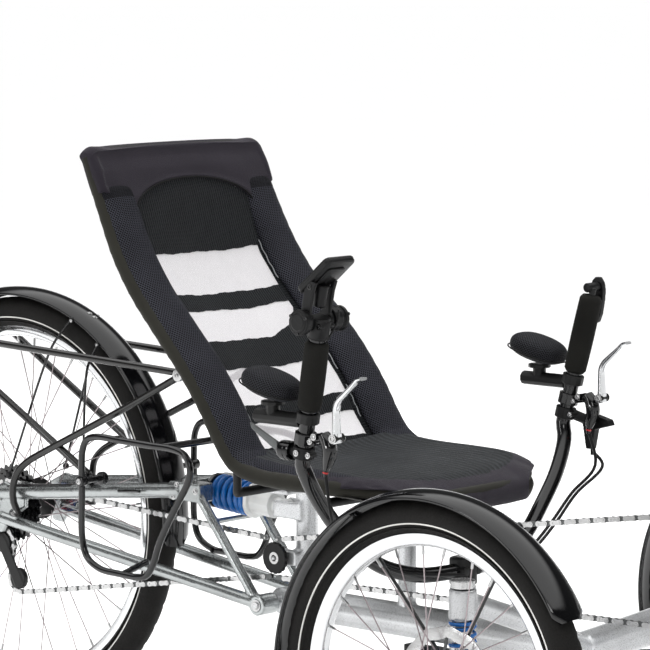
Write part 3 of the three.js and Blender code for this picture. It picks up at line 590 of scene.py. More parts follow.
def plate(piece, outline, thickness, middle_x, material):
    """A flat plate from a side-view outline of [y, z] points."""
    rows = [along_plane(middle_x + side * thickness / 2, outline) for side in (-1, 1)]
    return piece.shell(rows, material)


def arc(centre, radius, start, end, steps):
    return [(centre[0] + radius * math.cos(math.radians(start + (end - start) * i / steps)),
             centre[1] + radius * math.sin(math.radians(start + (end - start) * i / steps)))
            for i in range(steps + 1)]


def refine(name, material, voxel=1.6, passes=5, slim=0.0):
    """A CAD node shown with rounded tubes and welds: remeshed finely and relaxed by modifiers."""
    node = nodes[name]
    node.data.materials.clear()
    node.data.materials.append(MAT[material])
    remesh = node.modifiers.new("remesh", "REMESH")
    remesh.mode = "VOXEL"
    remesh.voxel_size = voxel * MM
    remesh.use_smooth_shade = True
    relax = node.modifiers.new("relax", "SMOOTH")
    relax.factor, relax.iterations = 0.5, passes
    if slim:
        shrink = node.modifiers.new("slim", "DISPLACE")
        shrink.strength, shrink.mid_level = -slim * MM, 0.0


# ---------------------------------------------------------------- wheels

REAR_RADIUS, FRONT_RADIUS = 326, 250
WHEELBASE, TRACK = 1190, 800
rear_centre = at(0, 0, REAR_RADIUS)


def tyre(name, body, centre, radius, width, bead):
    """A tyre with circumferential grooves, side blocks, ribbed sidewalls and a reflective line."""
    middle = radius - width / 2
    profile = []
    steps = 26
    for i in range(steps + 1):
        t = math.radians(-112 + 224 * i / steps)
        across = width / 2 * math.sin(t)
        out = middle + width / 2 * math.cos(t)
        profile.append([min(out, radius - 0.2 * (abs(across) / 6) ** 2), across])
    profile += [[bead, width * 0.26], [bead - 1, 0], [bead, -width * 0.26]]

    def ripple(i, k):
        across = profile[k][1] if k <= steps else None
        if across is None or profile[k][0] < middle + width * 0.2:
            return 0
        if 4.2 < abs(across) < 6.4:
            return -1.6
        if abs(across) > 7 and (i + (2 if across > 0 else 0)) % 5 == 0:
            return -1.5
        return -0.6 if abs(across) < 3 and i % 6 == 0 else 0

    piece = Piece(f"{name}_tread", body, name, slot="tyre")
    spin(piece, profile, centre, "tyre", 260, ripple=ripple)
    for side in (-1, 1):
        line_radius = radius - 31
        share = math.acos(max(-1, min(1, (line_radius - middle) / (width / 2))))
        x = side * (width / 2 * math.sin(share) + 0.15)
        low, high, deep, proud = line_radius - 1, line_radius + 0.9, x - side, x + side * 0.35
        spin(piece, [[low, deep], [high, deep], [high, proud], [low, proud]], centre, "stripe", 180)
        spin(piece, [[bead + 5.5, side * (width * 0.36)], [bead + 7, side * (width * 0.425)],
                     [bead + 8.6, side * (width * 0.36)]], centre, "tyre", 180)
    piece.done(60)


def wheel(name, body, centre, rim_outer, flanges, flange_radius, spokes, hub_profile, side=1):
    """Rim, crossed spokes with nipples, and hub."""
    piece = Piece(f"{name}_laced", body, name, slot="silver_alloy")
    deep, half = 17, 12
    rim = [[rim_outer - deep, -5], [rim_outer - deep + 2, -9], [rim_outer - deep + 6, -half + 0.4],
           [rim_outer - 4, -half], [rim_outer, -half], [rim_outer, -half + 1.6], [rim_outer - 5, -half + 2.4],
           [rim_outer - 6, 0], [rim_outer - 5, half - 2.4], [rim_outer, half - 1.6], [rim_outer, half],
           [rim_outer - 4, half], [rim_outer - deep + 6, half - 0.4], [rim_outer - deep + 2, 9],
           [rim_outer - deep, 5]]
    spin(piece, rim, centre, "polished", 180)
    for i in range(spokes):
        turn = 2 * math.pi * (i + 0.5) / spokes
        lean = turn + (1 if i % 4 < 2 else -1) * 0.95
        flange = flanges[i % 2]
        inward = -1 if i % 4 in (1, 2) else 1
        foot = centre + Vector(((flange + inward * 1.6) * MM, (flange_radius - 3) * MM * math.cos(lean),
                                (flange_radius - 3) * MM * math.sin(lean)))
        seat = rim_outer - deep + 1
        offset = math.copysign(3.0, flange - sum(flanges) / 2)
        head = centre + Vector((offset * MM, math.cos(turn) * seat * MM, math.sin(turn) * seat * MM))
        along = (foot - head).normalized()
        piece.shell(tube_rows([head, foot], 0.95, 6), "spoke")
        piece.shell(tube_rows([head - along * 1 * MM, head + along * 13 * MM], 1.9, 8), "steel")
    spin(piece, [[r, side * x] for r, x in hub_profile], centre, "black_satin", 48, closed=False)
    piece.done(40)


# Hub profiles: radius, and distance along the axle
REAR_HUB = [[0.01, -76], [4.6, -76], [5, -75], [5, -55], [12, -54.4], [12, -22.5], [30, -22.3], [33, -20.9],
            [33, -18.4], [31, -17.6], [19, -13], [15, -6], [14, 5], [15, 16], [19, 23], [31, 27.6],
            [33, 28.4], [33, 31], [30, 32.4], [12, 33], [10.5, 40], [10, 52], [5, 53], [5, 75], [4.6, 76],
            [0.01, 76]]
FRONT_HUB = [[8.8, -27], [13.6, -27], [14, -26.6], [14, -20.6], [26, -20.4], [28, -19.2], [28, -17.4],
             [18, -13.4], [14.6, -7], [14.2, 0], [14.6, 7], [18, 13.4], [28, 17.4], [28, 19.2], [26, 20.4],
             [14, 21.8], [14, 23.6], [13.6, 24], [8.8, 24]]


def cassette():
    """Eight toothed sprockets on one carrier, smallest outside, with a lock ring."""
    piece = Piece("cassette_sprockets", "rear_wheel", "cassette", slot="black_metal")
    radii = [60, 52, 44.5, 37.5, 31, 27, 24, 21.5]
    first, pitch = -26.6, -2.85
    for k, radius in enumerate(radii):
        x = first + pitch * k
        teeth = max(11, round(2 * math.pi * radius / 12.7))

        def ripple(i, j, radius=radius):
            if j not in (1, 2):
                return 0
            return 1.3 if i % 4 in (0, 3) else -2.6
        inner = 13.6 if k > 3 else radius - 17
        spin(piece, [[inner, x], [radius, x], [radius, x - 1.7], [inner, x - 1.7]], rear_centre,
             "dark_plate" if k > 4 else "black_metal", teeth * 4, ripple=ripple)
    behind = Vector((-27 * MM, 0, 0))
    for t in angles(5):
        out = around_axle(t)
        inner, outer = (rear_centre + out * reach * MM + behind for reach in (14, 46))
        rod(piece, inner, outer, 3, "black_metal", 10)
    carrier = [[13.6, -26.2], [16, -26.2], [16, -49], [20, -49], [20, -50.6], [13.6, -50.6]]
    spin(piece, carrier, rear_centre, "black_metal", 48)
    piece.done(30)


def hub_trim():
    """Small coloured rings beside the rear hub flange."""
    piece = Piece("hub_rings", "rear_wheel", slot="black_metal")
    spin(piece, [[15, 33.4], [24, 33.4], [24, 36], [15, 36]], rear_centre, "blue_paint", 48)
    spin(piece, [[16, -21.8], [27, -23.2], [27, -25.6], [16, -25.6]], rear_centre, "blue_paint", 48)
    spin(piece, [[12.6, 36.4], [17, 36.4], [17, 39], [12.6, 39]], rear_centre, "red", 48)
    piece.done(30)


def rotor(side, tag):
    """A brake disc with slotted rim and six arms."""
    piece = Piece(f"disc_rotor_{tag}", f"front_wheel_{tag}", f"brake_disc_{tag}", slot="steel")
    centre = at(side * (TRACK / 2 - 28.6), -WHEELBASE, FRONT_RADIUS)
    wave = [[64, -0.9], [79, -0.9], [80, -0.5], [80, 0.5], [79, 0.9], [64, 0.9]]
    spin(piece, wave, centre, "steel", 144,
         ripple=lambda i, k: (0.9 if 0 < k < 5 else 1.2) * math.cos(i * math.pi / 6))
    spin(piece, [[9.4, -0.9], [25, -0.9], [25, 0.9], [9.4, 0.9]], centre, "dark_plate", 48)
    for k in range(6):
        t = math.pi * k / 3
        a, b = around_axle(t), around_axle(t + 0.5)
        rod(piece, centre + a * 23 * MM, centre + b * 66 * MM, 2.28, "dark_plate", 8)
        bolt(piece, centre + a * 19 * MM - Vector((side * 0.8 * MM, 0, 0)), (-side, 0, 0), 2.4, 1.6)
    piece.done(40)


def mudguard_rows(centre, crown, width, drop, start, end, step=2.5):
    """Closed sections of an arched guard with rolled edges, narrowing round its two ends."""
    outer, inner = [], []
    for i in range(13):
        across = -1 + i / 6
        height = crown - drop * abs(across) ** 2.2
        outer.append((height, across * width / 2))
        inner.insert(0, (height - 1.6, across * (width / 2 - 1.2)))
    lip = [(outer[-1][0] - 1.6, width / 2 + 0.6), (outer[-1][0] - 3.2, width / 2 - 0.2)]
    low_lip = [(lip[1][0], -lip[1][1]), (lip[0][0], -lip[0][1])]
    section = outer + lip + inner + low_lip
    rows, count = [], round((end - start) / step)
    for i in range(count + 1):
        degrees = start + (end - start) * i / count
        from_end = min(degrees - start, end - degrees) * math.radians(1) * crown
        narrow = math.sqrt(max(0.0, 1 - max(0.0, 1 - from_end / 14) ** 2)) * 0.35 + 0.65
        t = math.radians(degrees)
        rows.append([centre + Vector((x * narrow * MM, r * MM * math.cos(t), r * MM * math.sin(t)))
                     for r, x in section])
    return rows


def rear_mudguard():
    piece = Piece("rear_guard", "swing_arm", "rear_mudguard", slot="gloss_black")
    piece.shell(mudguard_rows(rear_centre, 342.5, 55, 9.5, -20, 186), "gloss")
    for side in (-1, 1):
        foot = at(side * 61, -24, 377)
        tube(piece, [at(side * 26, -133, 629), at(side * 36, -120, 608), at(side * 45, -107, 584), foot],
             2.0, "black_metal", 6, 10)
        tube(piece, [at(side * 26, -191, 594), at(side * 50, -192, 560), at(side * 56, -192, 520),
                     at(side * 62, -192, 388)], 2.0, "black_metal", 6, 10)
        for y, z in ((-134, 627), (-191, 593)):
            rod(piece, at(side * 23, y, z + 1), at(side * 29.5, y, z - 1), 4.5, "plastic", 16)
            bolt(piece, at(side * 29.2, y, z - 1), (side, 0, 0), 2.0, 2.0)
        outward = Vector((side * MM, 0, 0))
        rod(piece, foot - outward * 2, foot + outward * 4, 5, "plastic", 16)
    for y in (-146, -157):
        z = REAR_RADIUS + math.sqrt(342.5 ** 2 - y ** 2)
        outward = Vector((0, y, z - REAR_RADIUS)).normalized()
        bolt(piece, at(0, y, z) - outward * 0.4 * MM, outward, 2.6, 2.2)
    bracket = [(-330, 436), (-322, 452), (-306, 452), (-312, 432)]
    plate(piece, bracket, 20, 0, "black_metal")
    piece.done(50)


def front_mudguard(side, tag):
    centre = at(side * TRACK / 2, -WHEELBASE, FRONT_RADIUS)
    piece = Piece(f"front_guard_{tag}", f"knuckle_{tag}", f"front_mudguard_{tag}", slot="gloss_black")
    piece.shell(mudguard_rows(centre, 262.4, 59, 8.5, -12, 152), "gloss")
    edge_x = side * (TRACK / 2 - 27)
    for angle in (52, 118):
        t = math.radians(angle)
        head = at(edge_x, -WHEELBASE + 252.5 * math.cos(t), FRONT_RADIUS + 252.5 * math.sin(t))
        tube(piece, [at(side * 364.5, -WHEELBASE, 270), head], 2.4, "black_metal", 20, 12)
        outward = Vector((side * MM, 0, 0))
        rod(piece, head - outward * 3, head + outward * 5, 4.6, "plastic", 16)
        bolt(piece, head - outward * 2.8, (-side, 0, 0), 2.2, 2.2)
    outline = [(-1205, 261), (-1175, 261), (-1175, 275), (-1205, 275)]
    plate(piece, outline, 4, side * 364.5, "black_metal")
    for y in (-1198, -1182):
        bolt(piece, at(side * 362.5, y, 268), (-side, 0, 0), 2.4, 2.4)
    piece.done(50)


tyre("rear_tyre", "rear_wheel", rear_centre, REAR_RADIUS, 47, 281)
wheel("rear_wheel", "rear_wheel", rear_centre, 280.4, (30, -20), 33, 36, REAR_HUB)
cassette()
hub_trim()
rear_mudguard()
for side, tag in SIDES:
    hub_at = at(side * TRACK / 2, -WHEELBASE, FRONT_RADIUS)
    tyre(f"front_tyre_{tag}", f"front_wheel_{tag}", hub_at, FRONT_RADIUS, 44, 206)
    wheel(f"front_wheel_{tag}", f"front_wheel_{tag}", hub_at, 205.4, (18.5, -18.5), 28, 28, FRONT_HUB, side)
    rotor(side, tag)
    front_mudguard(side, tag)


# ---------------------------------------------------------------- rack, carrier and swing arm details

RACK_X, LOOP_X = 78, 122


def rack():
    """Rear rack tubes with end caps, lugs and bolts."""
    piece = Piece("rack_tubes", "swing_arm", "rear_rack", slot="gunmetal_tube")
    x = RACK_X
    half = [(x, -418, 571), (x, -300, 575.5), (x, -60, 584.4), (x, 150, 592), (x, 222, 593), (68, 252, 593),
            (40, 267, 593)]
    hoop = [at(-a, b, c) for a, b, c in half] + [at(0, 269, 593)] + [at(*place) for place in half[::-1]]
    tube(piece, hoop, 5.6, "gunmetal", 9, 20)
    rod(piece, at(-x, -412, 571), at(x, -412, 571), 5, "gunmetal")
    rod(piece, at(-x, 60, 589), at(x, 60, 589), 4, "gunmetal")
    for side in (-1, 1):
        x = side * RACK_X
        leg = [(78, -420, 567), (78, -310, 512), (78, -200, 460), (78, -112, 419), (80, -88, 406),
               (83, -68, 388), (86, -60, 366), (86, -60, 342), (82, -66, 322)]
        tube(piece, [at(side * a, b, c) for a, b, c in leg], 5.6, "gunmetal", 6, 20)
        rod(piece, at(side * 84, -68, 322), at(side * 75, -46, 320), 6.4, "black_metal", 16)
        rod(piece, at(side * 77.8, 131, 590), at(side * 72.2, -216, 397), 6, "gunmetal")
        rod(piece, at(side * 62, -214, 389), at(side * 86, -214, 389), 8.5, "black_metal", 24, 2)
        bolt(piece, at(side * 86, -214, 389), (side, 0, 0), 3.2, 3)
        rod(piece, at(x - 6.2, -418, 568), at(x + 6.2, -418, 568), 10, "steel", 24, 2)
        bolt(piece, at(x + side * 6, -418, 568), (side, 0, 0), 3.2, 3)
        bolt(piece, at(side * 86, -64, 324), (side, 0, 0), 2.8, 3)
    piece.done(40)


def low_rider():
    """A bent loop beside the wheel on each side, joined by a cross bar."""
    piece = Piece("low_rider_loops", "swing_arm", "low_rider", slot="black_metal")
    rod(piece, at(-LOOP_X, -423, 464), at(LOOP_X, -423, 464), 5.5, "black_metal")
    loop = [(-366, 262), (-330, 263), (-290, 266), (-262, 281), (-252, 310), (-252, 370), (-252, 420),
            (-254, 444), (-264, 461), (-284, 467), (-340, 466), (-400, 464.5), (-450, 463), (-472, 456),
            (-482, 438), (-478, 418), (-462, 392), (-440, 358), (-418, 320), (-402, 282), (-388, 266),
            (-366, 262)]
    for side in (-1, 1):
        x = side * LOOP_X
        tube(piece, along_plane(x, loop), 5.2, "black_metal", 7, 20)
        rod(piece, at(x, -340, 263.5), at(side * 71, -340, 276), 5, "black_metal")
        rod(piece, at(x, -252, 396), at(side * 84, -252, 396), 4.6, "black_metal")
        rod(piece, at(x - side * 7, -252, 396), at(x + side * 6.6, -252, 396), 8.5, "black_metal", 24, 2)
        rod(piece, at(side * 84, -252, 396), at(side * 74, -252, 396), 10, "black_metal", 24, 2)
        bolt(piece, at(x + side * 6.4, -252, 396), (side, 0, 0), 3, 2.6)
        rod(piece, at(x, -330, 469), at(x, -330, 473), 4.4, "black_metal", 16)
    piece.done(40)


def swing_arm_trim():
    """Black strips, bolts and axle ends on the swing arm."""
    piece = Piece("swing_arm_trim", "swing_arm", slot="black_metal")
    for side in (-1, 1):
        a, b = at(side * 66, -26, 349.5), at(side * 62.3, -176, 365.5)
        rows = []
        for share in (0, 0.04, 0.96, 1):
            middle = a.lerp(b, share)
            tall = 0.3 if share in (0, 1) else 1.0
            lean = [math.radians(-side * 4 * tall + side * 44 * tall * k / 6) for k in range(7)]
            over = [middle + Vector((math.sin(t) * 12.4 * MM, 0, math.cos(t) * 12.4 * MM)) for t in lean]
            under = [middle + Vector((math.sin(t) * 11 * MM, 0, math.cos(t) * 11 * MM)) for t in lean[::-1]]
            rows.append(over + under)
        piece.shell(rows, "gloss")
        for y, z in ((-434, 392), (-396, 398), (-388, 380)):
            bolt(piece, at(side * 62, y, z), (side, 0, 0), 3.4, 3)
        bolt(piece, at(side * 69.5, 0, REAR_RADIUS), (side, 0, 0), 7, 5)
        bolt(piece, at(side * 64, -560, 235), (side, 0, 0), 6, 4)
        tube(piece, [at(side * 76, -330, 383), at(side * 72, -300, 380), at(side * 72, -280, 378)], 2.2,
             "black_metal")
    for y, z in ((-465, 349), (-405, 387)):
        bolt(piece, at(-54 if y < -410 else -20.5, y, z), (-1, 0, 0), 4, 3)
    piece.done(40)


def coil(name, body, node, ends, radius, wire, turns, material, slot):
    """A round-wire spring between two points, its end turns closed."""
    low, high = ends
    axis = (high - low).normalized()
    side = X_AXIS if abs(axis.x) < 0.5 else Vector((0, 1, 0))
    other = axis.cross(side)
    length = (high - low).length / MM - 2 * wire
    points, steps = [], turns * 28
    for i in range(steps + 1):
        share = i / steps
        flat = 0.9 / turns
        travel = max(0.0, min(1.0, (share - flat) / (1 - 2 * flat)))
        ends_closed = (0.07 * min(1, share / flat), 0.07 * max(0, (share - 1 + flat) / flat))
        lift = wire + length * (ends_closed[0] + 0.86 * travel + ends_closed[1])
        t = 2 * math.pi * turns * share
        points.append(low + axis * (lift * MM) + (side * math.cos(t) + other * math.sin(t)) * (radius * MM))
    piece = Piece(name, body, node, slot=slot)
    piece.shell(tube_rows(points, wire, 14, axis), material)
    made = piece.done(60)
    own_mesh(made)


rack()
low_rider()
swing_arm_trim()
shock_rear, shock_front = at(0, -405, 387), at(0, -558, 375)
shock_axis = (shock_front - shock_rear).normalized()
coil("shock_coil", "shock_body", "shock_spring",
     (shock_rear + shock_axis * 21 * MM, shock_rear + shock_axis * 92 * MM), 22.5, 4.4, 6,
     "blue_paint", "spring_blue")
for side, tag in SIDES:
    seat_of_spring = at(side * 342, -WHEELBASE, 280.6)
    coil(f"kingpin_coil_{tag}", "frame", f"kingpin_spring_{tag}",
         (seat_of_spring, at(side * 342, -WHEELBASE, 335.4)), 16.2, 2.6, 6,
         "blue_paint", "spring_blue")


# ---------------------------------------------------------------- drivetrain

CHAIN_X, PITCH = -38, 12.7
CRANK = (-1500, 388)


def chain(name, body, node, run):
    """Roller chain: waisted outer and inner plates in turn, each pair on its two rollers."""
    piece = Piece(name, body, node, slot="steel")
    line = smooth_path([at(CHAIN_X, y, z) for y, z in run], PITCH)
    half_pitch = PITCH / 2
    for k, (a, b) in enumerate(zip(line, line[1:])):
        along = (b - a).normalized()
        up = along.cross(X_AXIS)
        outline = []
        for end, turn in ((1, -90), (-1, 90)):
            for i in range(7):
                t = math.radians(turn + 30 * i)
                outline.append((end * half_pitch + 4.0 * math.cos(t), 4.0 * math.sin(t)))
            outline.append((0, 2.9 * end))
        middle = a.lerp(b, 0.5)
        for side in (-1, 1):
            x = side * (3.1 if k % 2 else 2.1)
            rows = [[middle + along * (p * MM) + up * (q * MM) + X_AXIS * ((x + t) * MM) for p, q in outline]
                    for t in (-0.45, 0.45)]
            piece.shell(rows, "steel" if k % 2 else "dark_plate")
        for radius, sides, half_wide in ((3.7, 8, 1.6), (1.7, 6, 3.9)):
            r = radius * MM
            ring = [along * (r * math.cos(t)) + up * (r * math.sin(t)) for t in angles(sides)]
            ends = [[a + X_AXIS * (x * MM) + out for out in ring] for x in (-half_wide, half_wide)]
            piece.shell(ends, "steel")
    piece.done(35)


def crankset():
    """Toothed chainring with a guard lip, five-arm spider, spindle and forged arms."""
    piece = Piece("crank_arms_and_ring", "crank", "crankset", slot="black_metal")
    centre = at(CHAIN_X, *CRANK)
    middle = at(0, *CRANK)
    toothed = [[62, -1.6], [83, -1.6], [84, -0.9], [84, 0.9], [83, 1.6], [62, 1.6]]
    spin(piece, toothed, centre, "dark_plate", 44 * 4,
         ripple=lambda i, k: (0 if k in (0, 5) else (1.6 if i % 4 in (0, 3) else -3.6)))
    spin(piece, [[58, -2], [66, -2], [66, 2], [58, 2]], centre, "black_metal", 96)
    rod(piece, at(-72, *CRANK), at(72, *CRANK), 8.5, "steel")
    rod(piece, at(-36, *CRANK), at(-60, *CRANK), 20, "black_metal", 48, 3)
    for t in angles(5):
        out = around_axle(t)
        piece.shell(tube_rows([middle + X_AXIS * (-41 * MM) + out * (12 * MM), centre + out * (38 * MM),
                               centre + out * (66 * MM)], lambda s: 8.5 - 3.5 * s, 16), "black_metal")
        bolt(piece, centre + out * 63 * MM + Vector((-2 * MM, 0, 0)), (-1, 0, 0), 3.6, 2.4)
    for side in (-1, 1):
        tip = CRANK[0] + side * 170
        outline = arc(CRANK, 16, 90 if side > 0 else -90, 270 if side > 0 else 90, 14)
        outline += arc((tip, CRANK[1]), 12, -90 if side > 0 else 90, 90 if side > 0 else 270, 14)
        plate(piece, outline, 13, side * 66, "black_metal")
        bolt(piece, at(side * 72.5, *CRANK), (side, 0, 0), 7.5, 3)
    piece.done(35, bevel=1.6)


def pedal(side, tag):
    """A caged platform pedal with a toothed rim, cross bars and axle."""
    piece = Piece(f"pedal_cage_{tag}", f"pedal_{tag}", f"pedal_{tag}", slot="black_metal")
    y, z = CRANK[0] + side * 170, CRANK[1]
    for edge in (-1, 1):
        rows = [[at(side * (122 + dx), y + edge * (42 + depth), z + h)
                 for depth, h in ((-4, -8), (3, -8 - tooth), (4, 0), (3, 8 + tooth), (-4, 8))]
                for dx, tooth in [(-43 + 86 * i / 24, 1.4 * (i % 2)) for i in range(25)]]
        piece.shell(rows, "black_metal")
        bar_x = side * (122 + edge * 39)
        rod(piece, at(bar_x, y - 42, z), at(bar_x, y + 42, z), 6.5, "black_metal", 16, 2)
    rod(piece, at(side * 78, y, z), at(side * 160, y, z), 11, "black_metal", 24, 3)
    rod(piece, at(side * 60, y, z), at(side * 90, y, z), 4.8, "steel", 20)
    for edge in (-1, 1):
        rod(piece, at(side * 122, y, z), at(side * 122, y + edge * 42, z), 6, "black_metal", 16, 2)
    piece.done(35)


IDLER = (-575, 305)
RUN_TOP, RUN_BELOW = 333.5, 276.5
ring_arc = arc(CRANK, 89, 81, 268, 22)
front_ends = ((-582, RUN_TOP), (-582, RUN_BELOW))
front_run = (between(front_ends[0], ring_arc[0], (0, 0.25, 0.5, 0.75)) + ring_arc
             + between(ring_arc[-1], front_ends[1], (0.25, 0.5, 0.75, 1)))
chain("chain_links_front", "boom", "chain_front", front_run)
rear_arc = arc((0, REAR_RADIUS), 36, 93, -62, 14)
wraps = arc((12, 262), 22, 120, 214, 6) + arc((-22, 208), 22, 18, -98, 8)
rear_run = (between((-557, RUN_TOP), rear_arc[0], (0, 0.33, 0.66)) + rear_arc + wraps
            + between(wraps[-1], (-566, RUN_BELOW), (0.33, 0.66, 1)))
chain("chain_links_rear", "swing_arm", "chain_rear", rear_run)
crankset()
for side, tag in SIDES:
    pedal(side, tag)


def idler():
    piece = Piece("idler_wheel", "idler", "chain_idler", slot="black_metal")
    centre = at(CHAIN_X, *IDLER)
    spin(piece, [[4.9, -3], [22, -3], [24, -1.4], [24, 1.4], [22, 3], [4.9, 3]], centre, "plastic", 96,
         ripple=lambda i, k: (-2.4 if k in (2, 3) and i % 6 in (2, 3) else 0))
    spin(piece, [[5, -3.3], [9, -3.3], [9, -2.8], [5, -2.8]], centre, "steel", 32)
    piece.done(35)


idler()


# ---------------------------------------------------------------- handlebar and controls

BAR = 11.1


def bar_point(side, z):
    return at(side * (287 + (z - 506) * 0.065), -859 - (z - 506) * 0.22, z)


bar_direction = {side: (bar_point(side, 700) - bar_point(side, 500)).normalized() for side in (-1, 1)}


def handlebar():
    """The U-shaped bar, its stem clamp and the bar-end plugs."""
    piece = Piece("bar_tubes", "handlebar", "handlebar", slot="black_metal")
    bend = []
    for side in (-1, 1):
        half = [bar_point(side, 684), bar_point(side, 600), bar_point(side, 520), bar_point(side, 500),
                at(side * 282, -864, 478), at(side * 256, -871, 434), at(side * 214, -876, 388),
                at(side * 158, -886, 346), at(side * 90, -898, 325), at(side * 30, -905, 322)]
        bend.append(half)
    tube(piece, bend[0] + [at(0, -905, 322)] + bend[1][::-1], BAR, "black_metal", 9, 28)
    rod(piece, at(0, -905, 182), at(0, -905, 302), 13.1, "steel", 32)
    rod(piece, at(0, -905, 301), at(0, -905, 340), 20, "black_satin", 40, 3)
    bolt(piece, at(0, -905, 340), (0, 0, 1), 6, 4)
    rows = []
    for z in (189, 197.4):
        clamp = [(-31, -824), (-31, -846), (-20, -880), (-20, -905)] + arc((0, -905), 21, 180, 360, 10)[1:-1]
        clamp += [(20, -905), (20, -880), (31, -846), (31, -824)]
        rows.append([at(x, y, z) for x, y in clamp])
    piece.shell(rows, "black_satin")
    for side in (-1, 1):
        rod(piece, at(side * 22, -830, 196), at(side * 22, -830, 171), 4, "steel", 20)
        bolt(piece, at(side * 22, -830, 171), (0, 0, -1), 5.5, 4)
        rod(piece, at(side * 14, -924, 322), at(side * 14, -886, 322), 7, "black_satin", 20, 2)
    rod(piece, bar_point(1, 680), bar_point(1, 703), 5, "black_satin", 24, 2)
    rod(piece, at(291, -896, 703), at(317.6, -896, 703), 7, "plastic", 32, 2)
    rod(piece, at(310, -896, 703), at(327, -896, 703), 3, "steel", 20)
    piece.done(38, bevel=0.6)


def grip(side, tag, top):
    """A foam grip, a little fuller towards the thumb, with a rounded end."""
    piece = Piece(f"foam_grip_{tag}", "handlebar", f"grip_{tag}", slot="foam")
    low = bar_point(side, 576.5)
    length = (top - 576.5) / bar_direction[side].z
    profile = []
    for i in range(25):
        s = i / 24
        fuller = 15.6 + 1.3 * math.sin(math.pi * (0.15 + 0.8 * s)) + 0.8 * s
        end = min(s, 1 - s) * length
        fuller -= 3.2 * (1 - min(1.0, end / 5)) ** 2
        profile.append([fuller, s * length])
    profile = [[12.2, 0]] + profile + ([[12.2, length]] if side < 0 else [[6.6, length + 1.4]])
    spin(piece, profile, low, "foam", 56, bar_direction[side])
    piece.done(60)


def clamp_band(piece, side, low, high, radius, material):
    """A clamp ring round the bar between two heights."""
    a = bar_point(side, low)
    tall = (bar_point(side, high) - a).length / MM
    profile = [[BAR + 1, 0], [radius - 0.8, 0], [radius, 0.8], [radius, tall - 0.8], [radius - 0.8, tall],
               [BAR + 1, tall]]
    spin(piece, profile, a, material, 48, bar_direction[side])


def wrist_pad(side, tag):
    """A stuffed oval pad in spacer mesh with a piped seam."""
    piece = Piece(f"pad_{tag}", f"wrist_pad_{tag}", f"wrist_pad_{tag}", slot="mesh_fabric")
    tilt = Matrix.Rotation(math.radians(14), 3, "X")
    centre = at(side * 292, -806, 606)
    rows = []
    for i in range(1, 20):
        v = math.pi * i / 20
        ring = []
        for t in angles(32):
            shape = abs(math.sin(v)) ** 0.7
            across = 32 * shape * rounded(math.cos(t), 0.85)
            tall = shape * rounded(math.sin(t), 0.8) * (20 if math.sin(t) > 0 else 18)
            along = -46 * rounded(math.cos(v), 0.85)
            ring.append(centre + tilt @ Vector((across * MM, along * MM, tall * MM)))
        rows.append(ring)
    piece.shell(rows, "pad")
    pad = piece.done(80)
    stuffed(pad, 3.5, 3.0)
    seam = Piece(f"pad_seam_{tag}", f"wrist_pad_{tag}", slot="mesh_fabric")
    oval = [(34 * rounded(math.sin(t), 0.75), -48 * rounded(math.cos(t), 0.85)) for t in angles(60)]
    line = [centre + tilt @ Vector((x * MM, y * MM, -6 * MM)) for x, y in oval]
    seam.shell(tube_rows(line, 1.1, 8, Vector((0, 0, 1))), "piping", wrap=True)
    seam.done(60)


def stuffed(made, pressure, most):
    """Swells a closed cover by cloth simulation. No point travels more than most millimetres."""
    scene = bpy.context.scene
    rest = [v.co.copy() for v in made.data.vertices]
    cloth = made.modifiers.new("cloth", "CLOTH")
    cloth.settings.quality = 4
    cloth.settings.mass = 0.2
    cloth.settings.tension_stiffness = cloth.settings.compression_stiffness = 12
    cloth.settings.bending_stiffness = 0.4
    cloth.settings.use_pressure = True
    cloth.settings.uniform_pressure_force = pressure
    cloth.settings.effector_weights.gravity = 0
    pinned = made.vertex_groups.get("seam")
    if pinned:
        cloth.settings.vertex_group_mass = "seam"
    for step in range(1, 21):
        scene.frame_set(step)
    graph = bpy.context.evaluated_depsgraph_get()
    swollen = [v.co.copy() for v in made.evaluated_get(graph).data.vertices]
    made.modifiers.remove(cloth)
    for vertex, before, after in zip(made.data.vertices, rest, swollen):
        move = after - before
        if move.length > most * MM:
            move *= most * MM / move.length
        vertex.co = before + move
    scene.frame_set(1)
    smooth = made.modifiers.new("subdivide", "SUBSURF")
    smooth.levels = smooth.render_levels = 1


def brake_trim(side, tag):
    """Clamp screws, adjuster and the red ring where the cable leaves the lever."""
    piece = Piece(f"brake_trim_{tag}", "handlebar", slot="black_metal")
    foot = at(side * 290, -904, 497)
    down = (at(side * 290, -903, 493) - at(side * 290, -906, 506)).normalized()
    body = along_plane(side * 290, ((-900, 544), (-908, 534), (-911, 520), (-908, 508), (-904, 497)))
    swell = tube_rows(smooth_path(body, 3), lambda s: 8.6 + 2.2 * math.sin(math.pi * s) - 3.4 * s ** 3, 24)
    piece.shell(swell, "black_metal")
    rod(piece, foot + down * 3 * MM, foot + down * 5.6 * MM, 4.2, "red", 20)
    for x in (-1, 1):
        bolt(piece, at(side * 290 + x * 8.6, -889, 541), (x, 0, 0), 3.2, 2.6)
    bolt(piece, at(side * 292 - 9.5, -926, 542), (-1, 0, 0), 4.2, 2.4)
    bolt(piece, at(side * 292 + 9.5, -926, 542), (1, 0, 0), 4.2, 2.4)
    rod(piece, at(side * 290 - 10, -911, 529), at(side * 290 + 10, -911, 529), 3.2, "steel", 20)
    for z, forward in ((537, 14.5), (517, 14)):
        d = bar_direction[side]
        ahead = Vector((0, -1, 0)) - d * Vector((0, -1, 0)).dot(d)
        point = bar_point(side, z) + ahead.normalized() * forward * MM
        rod(piece, point - X_AXIS * 8 * MM, point + X_AXIS * 8 * MM, 3.6, "black_satin", 20)
        bolt(piece, point - X_AXIS * 8 * MM, (-1, 0, 0), 3, 2.4)
    piece.done(38)


